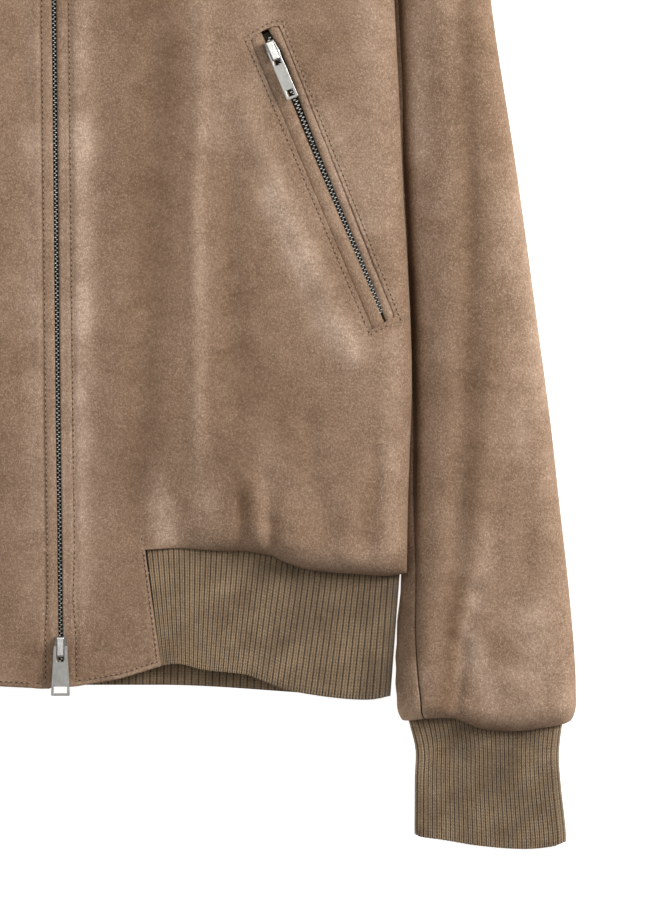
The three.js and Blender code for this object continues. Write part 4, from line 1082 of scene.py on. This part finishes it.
def cuff_surface(u0, v):
    u = u0 % CUFF_TOTAL
    at = lerp(-91, CUFF_UNDER_TOP, v)
    inner, outer = cuff_inner(at), cuff_outer(at)
    level = 0
    if u <= CUFF_RIBS:
        x, z, level = lerp(inner + CUFF_ROLL, outer - CUFF_ROLL, u / CUFF_RIBS), CUFF_Z, 1
        z += 0.5 * noise.noise(Vector((u, v * 6, 30)) / 4)
    elif u <= CUFF_RIBS + CUFF_SIDE_RIBS:
        turn = math.pi * (u - CUFF_RIBS) / CUFF_SIDE_RIBS
        x, z = outer - CUFF_ROLL + CUFF_ROLL * math.sin(turn), CUFF_Z / 2 * (1 + math.cos(turn))
    elif u <= CUFF_RIBS + CUFF_SIDE_RIBS + CUFF_UNDER_RIBS:
        x = lerp(outer - CUFF_ROLL, inner + CUFF_ROLL, (u - CUFF_RIBS - CUFF_SIDE_RIBS) / CUFF_UNDER_RIBS)
        z = 0
    else:
        turn = math.pi * (CUFF_TOTAL - u) / CUFF_SIDE_RIBS
        x, z = inner + CUFF_ROLL - CUFF_ROLL * math.sin(turn), CUFF_Z / 2 * (1 + math.cos(turn))
    inside = ease(0, 8, min(x - inner - CUFF_ROLL, outer - CUFF_ROLL - x)) * level
    top = lerp(CUFF_UNDER_TOP, sleeve_line(x) + 6, inside)
    return x, lerp(cuff_low(x), top, v), z


def cuff_lift(u):
    out = ease(CUFF_RIBS + 1.5, CUFF_RIBS + 2.5, u)
    return 1 - out + ease(CUFF_TOTAL - 2.5, CUFF_TOTAL - 1.5, u)


cuff_us = steps(0, CUFF_TOTAL, CUFF_TOTAL * PER_RIB)
for side, name in SIDES.items():
    bm = grid_of(raised(cuff_surface, cuff_lift), cuff_us, steps(0, 1, RIB_STEPS), side)
    knit(bm, STITCH_ROWS)
    bmesh.ops.remove_doubles(bm, verts=bm.verts, dist=1e-6)
    piece_of(bm, f"rib_cuff_{name}", RIB, "rib", f"cuff_{name}", thick=RIB_WALL)

COLLAR_HALF, COLLAR_FRONT = 50, 32
COLLAR_LOW, COLLAR_HIGH = 606, 661  # its upper edge at the zip, and behind the neck
COLLAR_TOP, COLLAR_TOP_HALF = 668, 70


def collar_surface(u, v):
    side = 1 if u < COLLAR_HALF else -1
    k = min(u, 2 * COLLAR_HALF - u)
    in_front = k <= COLLAR_FRONT
    turn = quarter(k / COLLAR_FRONT if in_front else (COLLAR_HALF - k) / (COLLAR_HALF - COLLAR_FRONT))
    out, across = math.sin(turn), math.cos(turn)
    start = zip_x(lerp(NECK_FRONT, COLLAR_LOW, v)) * side + ZIP_EDGE if in_front else 0
    x = lerp(start, lerp(NECK_HALF - 1.2, COLLAR_TOP_HALF, v), out)
    if in_front:
        low = NECK_TOP - (NECK_TOP - NECK_FRONT - 0.3) * across
        z = 10 + (NECK_Z - 10) * across
    else:
        low = NECK_TOP + 1 - (NECK_TOP - NECK_BACK) * across
        z = 10 * (1 - math.sin(quarter((1 - out) * 2.2)))
    top = COLLAR_TOP - (COLLAR_TOP - (COLLAR_LOW if in_front else COLLAR_HIGH)) * across
    return x * side, lerp(low + 0.3, top, v), z


def collar_shape(u, v):
    p = collar_surface(u, v)
    k = min(u, 2 * COLLAR_HALF - u)
    rise = RIB_RAISE * (rib_profile(u % 1) - RIB_SUNK) * (1 - ease(COLLAR_FRONT - 4, COLLAR_FRONT, k))
    return p[0], p[1], p[2] + rise


collar_us = steps(0, COLLAR_HALF * 2, COLLAR_HALF * 2 * PER_RIB)
bm = knit(grid_of(collar_shape, collar_us, steps(0, 1, RIB_STEPS)), COLLAR_ROWS)
collar = piece_of(bm, "rib_collar", RIB, "rib", "collar", thick=COLLAR_WALL)

# Zips

def zip_z(h):
    return lerp(
        front_height(0, min(h, NECK_FRONT), 1), NECK_Z - 2.6 + WALL - 0.2,
        ease(NECK_FRONT - 34, NECK_FRONT - 10, h),
    )


def tape_surface(side):
    def at(u, v):
        h = lerp(ZIP_LOW, ZIP_TOP, v)
        x = zip_x(h) + lerp(0.2, 14, u) * side
        return x, h, zip_z(h) - WALL - 0.9

    return at


for side, name in SIDES.items():
    bm = grid_of(tape_surface(side), steps(0, 1, 8), steps(0, 1, 120))
    if side < 0:
        bmesh.ops.reverse_faces(bm, faces=bm.faces)
    piece_of(bm, f"tape_{name}", TAPE, "zip_tape", f"zip_tape_{name}", thick=0.8)


def tooth(bm, centre, way, side, reach, high):
    """A zip tooth. way is the chain's direction, and side says which tape holds the tooth."""
    made = bmesh.ops.create_cube(bm, size=1)["verts"]
    across = Vector((way[1], -way[0], 0))
    forward = Vector((way[0], way[1], 0))
    up = Vector((0, 0, 1))
    for vert in made:
        thin = 0.72 if vert.co.x * side < 0 else 1.0
        flat = 0.8 if vert.co.z > 0 else 1.0
        offset = across * (vert.co.x * reach * flat + side * reach * 0.26)
        offset += forward * (vert.co.y * thin * flat) + up * (vert.co.z * high)
        vert.co = centre + offset * MM


def chain_piece(name, places, reach, high, *nodes):
    bm = bmesh.new()
    for i, (x, h, z, way) in enumerate(places):
        tooth(bm, spot(x, h, z), way, 1 if i % 2 else -1, reach, high)
    bmesh.ops.bevel(
        bm, geom=bm.edges[:], offset=0.18 * MM, affect="EDGES", segments=1, profile=0.5, material=-1
    )
    piece_of(bm, name, TOOTH, "zip_teeth", *nodes, smooth=False)


teeth = []
h = float(ZIP_LOW)
while h < ZIP_TOP:
    teeth.append((zip_x(h), h, zip_z(h) - 1.3, (-ZIP_LEAN, 1)))
    h += TOOTH_PITCH / 2
chain_piece("teeth_main", teeth, 1.7, 1.9, "zip_chain_lower", "zip_chain_middle", "zip_chain_upper")

# Pockets

POCKET_RUN = (73.2, 173.2)
POCKET_WAY = Vector((POCKET_RUN[0], -POCKET_RUN[1])).normalized()
POCKET_TEETH = 137
LIP_DEPTH = 2.3


def lip_surface(part, side):
    """A rounded roll of suede along one side of the window."""
    def at(u, v):
        down = lerp(-0.004, 1.004, v)
        edges = (-0.03, low_lip(down)) if part == "lower" else (high_lip(down), 1.05)
        x, h = window_point(lerp(*edges, 0.5 - 0.5 * math.cos(math.pi * u)), down)
        z = cloth_height(x, h, side) - LIP_DEPTH + LIP_DEPTH * math.sin(math.pi * u) ** 1.1
        z -= 1.2 * (1 - ease(0, 0.02, v)) + 1.2 * ease(0.98, 1, v)
        return x, h, z + 0.25 * noise.noise(Vector((x, h, 53.7)) / 7)

    return at


lip_rows = joined(steps(0, 0.03, 6), steps(0.03, 0.97, 90), steps(0.97, 1, 6))
for side, name in SIDES.items():
    # Painted light and shade on the lips: the upper lip painted brighter than the lower, painted shade along
    # both lip edges, and the front's painted light and shade at half strength
    for part, painted_light in (("lower", 0.1), ("upper", 0.3)):
        def lip_nap_and_painted_light(u, v, x, h):
            return painted_light + 0.5 * streaks(side, x, h) - 0.9 * (1 - math.sin(math.pi * u)) ** 3

        bm = grid_of(lip_surface(part, side), steps(0, 1, 18), lip_rows, side, lip_nap_and_painted_light)
        bmesh.ops.reverse_faces(bm, faces=bm.faces)
        lip = f"pocket_{name}_lip_{part}"
        piece_of(bm, f"suede_pocket_{name}_{part}", SUEDE, "suede", lip, thick=1)
    teeth = []
    for down in steps(0.03, 0.965, POCKET_TEETH):
        x, h = window_point((low_lip(down) + high_lip(down)) / 2, down)
        z = cloth_height(x, h, side) - 1.9
        teeth.append((x * side, h, z, (POCKET_WAY.x * side, POCKET_WAY.y)))
    chain_piece(f"teeth_pocket_{name}", teeth, 2.1, 1.5, f"pocket_{name}_chain")

    def bed_surface(u, v):
        x, h = window_point(lerp(0.3, 0.8, u), lerp(0.01, 0.99, v))
        return x, h, cloth_height(x, h, side) - 3.2

    bm = grid_of(bed_surface, steps(0, 1, 6), steps(0, 1, 60), side)
    bmesh.ops.reverse_faces(bm, faces=bm.faces)
    piece_of(bm, f"tape_pocket_{name}", TAPE, "zip_tape", thick=0.6)

# Sliders and pulls, drawn with the pull toward -Y and the chain's top at z = 0

PIN_Z, PIN_RADIUS, PIN_LONG = 4.9, 0.55, 5.6


def plate(bm, outline, holes, low, high):
    """A flat plate with openings, from its outline."""
    edges = []
    for ring in [outline, *holes]:
        verts = [bm.verts.new((x, y, low)) for x, y in ring]
        edges += [bm.edges.new((a, b)) for a, b in zip(verts, verts[1:] + verts[:1])]
    filled = bmesh.ops.triangle_fill(
        bm, use_beauty=True, use_dissolve=False, edges=edges, normal=(0, 0, 1)
    )["geom"]
    faces = [g for g in filled if isinstance(g, bmesh.types.BMFace)]
    grown = bmesh.ops.extrude_face_region(bm, geom=faces)["geom"]
    raised_verts = [g for g in grown if isinstance(g, bmesh.types.BMVert)]
    bmesh.ops.translate(bm, vec=(0, 0, high - low), verts=raised_verts)
    bmesh.ops.recalc_face_normals(bm, faces=bm.faces)


def rounded(bm, width):
    sharp = [e for e in bm.edges if len(e.link_faces) == 2 and e.calc_face_angle(0) > 0.6]
    bmesh.ops.bevel(bm, geom=sharp, offset=width, affect="EDGES", segments=2, profile=0.5, material=-1)


def arc(cx, cy, radius, start, end, n=5):
    return [
        (cx + radius * math.cos(math.radians(a)), cy + radius * math.sin(math.radians(a)))
        for a in steps(start, end, n)
    ]


def fitting_place(x, h, z, turn):
    return Matrix.Translation(spot(x, h, z)) @ Matrix.Rotation(turn, 4, "Z") @ Matrix.Scale(MM, 4)


def slider_body():
    bm = bmesh.new()
    plate(bm, [
        (-2.8, -4), (2.8, -4), (3.8, -2.2), (3.9, 0), (3.3, 4.4), *arc(1.9, 6.4, 1.1, 20, 85, 4), (0.6, 7.1),
        (-0.6, 7.1), *arc(-1.9, 6.4, 1.1, 95, 160, 4), (-3.3, 4.4), (-3.9, 0), (-3.8, -2.2),
    ], [], 0.3, 2.9)
    rounded(bm, 0.4)
    return bm


def slider_bridge():
    """The bridge over the slider's body that holds the pull's pin."""
    part = bmesh.new()
    profile = [
        (-5.4, 2.5), (7, 2.5), (7, 5.0), *arc(5.8, 5.4, 1.2, 0, 90, 4), *arc(-4.2, 5.4, 1.2, 90, 180, 4),
    ]
    eye = [(-1.4, 3.9), (1.4, 3.9), (1.4, 5.6), (0.9, 5.9), (-0.9, 5.9), (-1.4, 5.6)]
    plate(part, profile, [eye], -1.95, 1.95)
    rounded(part, 0.35)
    stand = Matrix(((0, 0, 1, 0), (1, 0, 0, 0), (0, 1, 0, 0), (0, 0, 0, 1)))
    bmesh.ops.transform(part, matrix=stand, verts=part.verts)
    return part


def pull_mesh(top_half, low_half, end):
    """A tapered tab with a slot that takes the bridge, and a window at its lower end."""
    bm = bmesh.new()
    middle, low_in = (top_half + low_half) / 2, low_half - 0.8
    outline = [
        (-top_half, 0.8), (-top_half + 0.5, 1.3), (-2.3, 1.3), (-2.3, -7),
        *arc(-1.2, -7.1, 1.1, 180, 270, 4)[1:], *arc(1.2, -7.1, 1.1, 270, 360, 4)[:-1],
        (2.3, -7), (2.3, 1.3), (top_half - 0.5, 1.3), (top_half, 0.8),
        (middle, end / 2), (low_half, end + 1.2), *arc(low_in, end + 0.8, 0.8, 0, -90, 4),
        *arc(-low_in, end + 0.8, 0.8, 270, 180, 4), (-low_half, end + 1.2), (-middle, end / 2),
    ]
    wide = low_half - 1.7
    hole = [(-wide, end + 5.6), (wide, end + 5.6), (wide, end + 1.6), (-wide, end + 1.6)]
    plate(bm, outline, [hole], PIN_Z - 0.65, PIN_Z + 0.65)
    rounded(bm, 0.2)
    made = bmesh.ops.create_cone(
        bm, cap_ends=True, segments=20, radius1=PIN_RADIUS, radius2=PIN_RADIUS, depth=PIN_LONG
    )["verts"]
    across = Matrix.Translation((0, 0, PIN_Z)) @ Matrix.Rotation(math.pi / 2, 4, "Y")
    bmesh.ops.transform(bm, matrix=across, verts=made)
    return bm


pocket_turn = math.atan2(*POCKET_RUN)
MAIN_PULL, SLIM_PULL = (4.1, 5.7, -28.7), (3.5, 3.7, -30)
SLIDER_LOW, SLIDER_HIGH, SLIDER_IN_POCKET = 25, 588, (0.43, 0.078)
fittings = {
    "lower": (zip_x(SLIDER_LOW), SLIDER_LOW, zip_z(SLIDER_LOW), 0.0),
    "upper": (zip_x(SLIDER_HIGH), SLIDER_HIGH, NECK_Z + 0.6, 0.0),
}
for side, name in SIDES.items():
    x, h = window_point(*SLIDER_IN_POCKET)
    fittings[f"pocket_{name}"] = (x * side, h, cloth_height(x, h, side) + 0.9, pocket_turn * side)
for name, place in fittings.items():
    pull = SLIM_PULL if name.startswith("pocket") else MAIN_PULL
    for bm, part, kind, finish, body in (
        (slider_body(), "body", "slider", SHADED_SLIDER_METAL, "jacket"),
        (slider_bridge(), "bridge", "slider", LIT_BRIDGE_METAL, "jacket"),
        (pull_mesh(*pull), "tab", "pull", METAL, f"tab_{name}"),
    ):
        bmesh.ops.transform(bm, matrix=fitting_place(*place), verts=bm.verts)
        node = f"{kind}_{name}"
        piece_of(bm, f"{node}_{part}", finish, "zip_metal", node, body=body, smooth=False)

# Topstitching

THREAD_AT = Matrix.Translation((0, 0, 0.3)) @ Matrix.Diagonal((0.32, 1.0, 0.26, 1))
HOLE_AT = Matrix.Translation((0, PITCH / 2, 0.36)) @ Matrix.Diagonal((0.36, 0.78, 1, 1))


def stitches(name, side, points):
    """Short threads along a line, each dipping into a needle hole at both ends, where a dark disc is painted
    shade.
    """
    threads, holes = bmesh.new(), bmesh.new()
    for x, h, wx, wh in along(points, PITCH, PITCH / 2):
        z = cloth_height(x, h, side) + sewn_relief(x, h, side) + nap(x, h, side)
        way = Vector((wx * side, wh, 0))
        across = Vector((-way.y, way.x, 0))
        laid = Matrix.Scale(MM, 4) @ Matrix((
            (across.x, way.x, 0, x * side), (across.y, way.y, 0, h - MIDDLE), (0, 0, 1, z), (0, 0, 0, 1),
        ))
        made = bmesh.ops.create_icosphere(threads, subdivisions=1, radius=1)["verts"]
        bmesh.ops.transform(threads, matrix=laid @ THREAD_AT, verts=made)
        made = bmesh.ops.create_circle(holes, cap_ends=True, segments=8, radius=1)["verts"]
        bmesh.ops.transform(holes, matrix=laid @ HOLE_AT, verts=made)
    return [
        piece_of(threads, f"stitch_{name}", THREAD, "suede"),
        piece_of(holes, f"needle_{name}", NEEDLE_HOLE_SHADE, "suede"),
    ]


sewing = {
    name: [made for line, points in LINES[side].items() for made in stitches(f"{line}_{name}", side, points)]
    for side, name in SIDES.items()
}

# Each side's stitching pieces, taken as a list; the list is not kept
for name in SIDES.values():
    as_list(sewing[name])

# Room

WHITE = (1, 1, 1, 1)
floor_finish = Finish(
    "floor", base_color=(0.9, 0.9, 0.9, 1), roughness=0.9, emission_color=WHITE, emission_strength=0.8
)
bm = bmesh.new()
bmesh.ops.create_grid(bm, x_segments=1, y_segments=1, size=6)
bmesh.ops.translate(bm, vec=(0, 0, -0.0004), verts=bm.verts)
mesh_of(bm, "floor", floor_finish.material, smooth=False)


def softbox(name, place, aim, size, power):
    light = bpy.data.lights.new(name, "AREA")
    light.shape = "RECTANGLE"
    light.size = light.size_y = size
    light.energy = power
    made = set_out(name, light)
    made.location = place
    made.rotation_euler = (Vector(aim) - Vector(place)).to_track_quat("-Z", "Y").to_euler()


softbox("softbox_right", (1.8, 0.9, 1.35), (0.12, -0.1, 0), 0.9, 50)
softbox("softbox_left", (-1.9, 0.5, 1.6), (0.1, -0.1, 0), 1.2, 8)
softbox("softbox_above", (0.2, 0.6, 2.6), (0.1, -0.1, 0), 2.0, 14)

world = bpy.data.worlds.new("room")
world.use_nodes = True
world.node_tree.nodes["Background"].inputs["Color"].default_value = WHITE
world.node_tree.nodes["Background"].inputs["Strength"].default_value = 0.26
bpy.context.scene.world = world
bpy.context.scene.view_settings.view_transform = "Standard"

# Camera: straight above, with the photograph's frame of 403.2 by 538.2 mm at the cloth
FRAME_HIGH = 538.2
FRAME_MIDDLE = (166.8, 144.9)
CLOTH_FACE = 24
camera_data = bpy.data.cameras.new("camera")
camera_data.sensor_width = 36
camera_data.lens = 300
camera_data.clip_end = 50
camera = set_out("camera", camera_data)
distance = FRAME_HIGH * camera_data.lens / camera_data.sensor_width
camera.location = spot(*FRAME_MIDDLE, distance + CLOTH_FACE)
bpy.context.scene.camera = camera
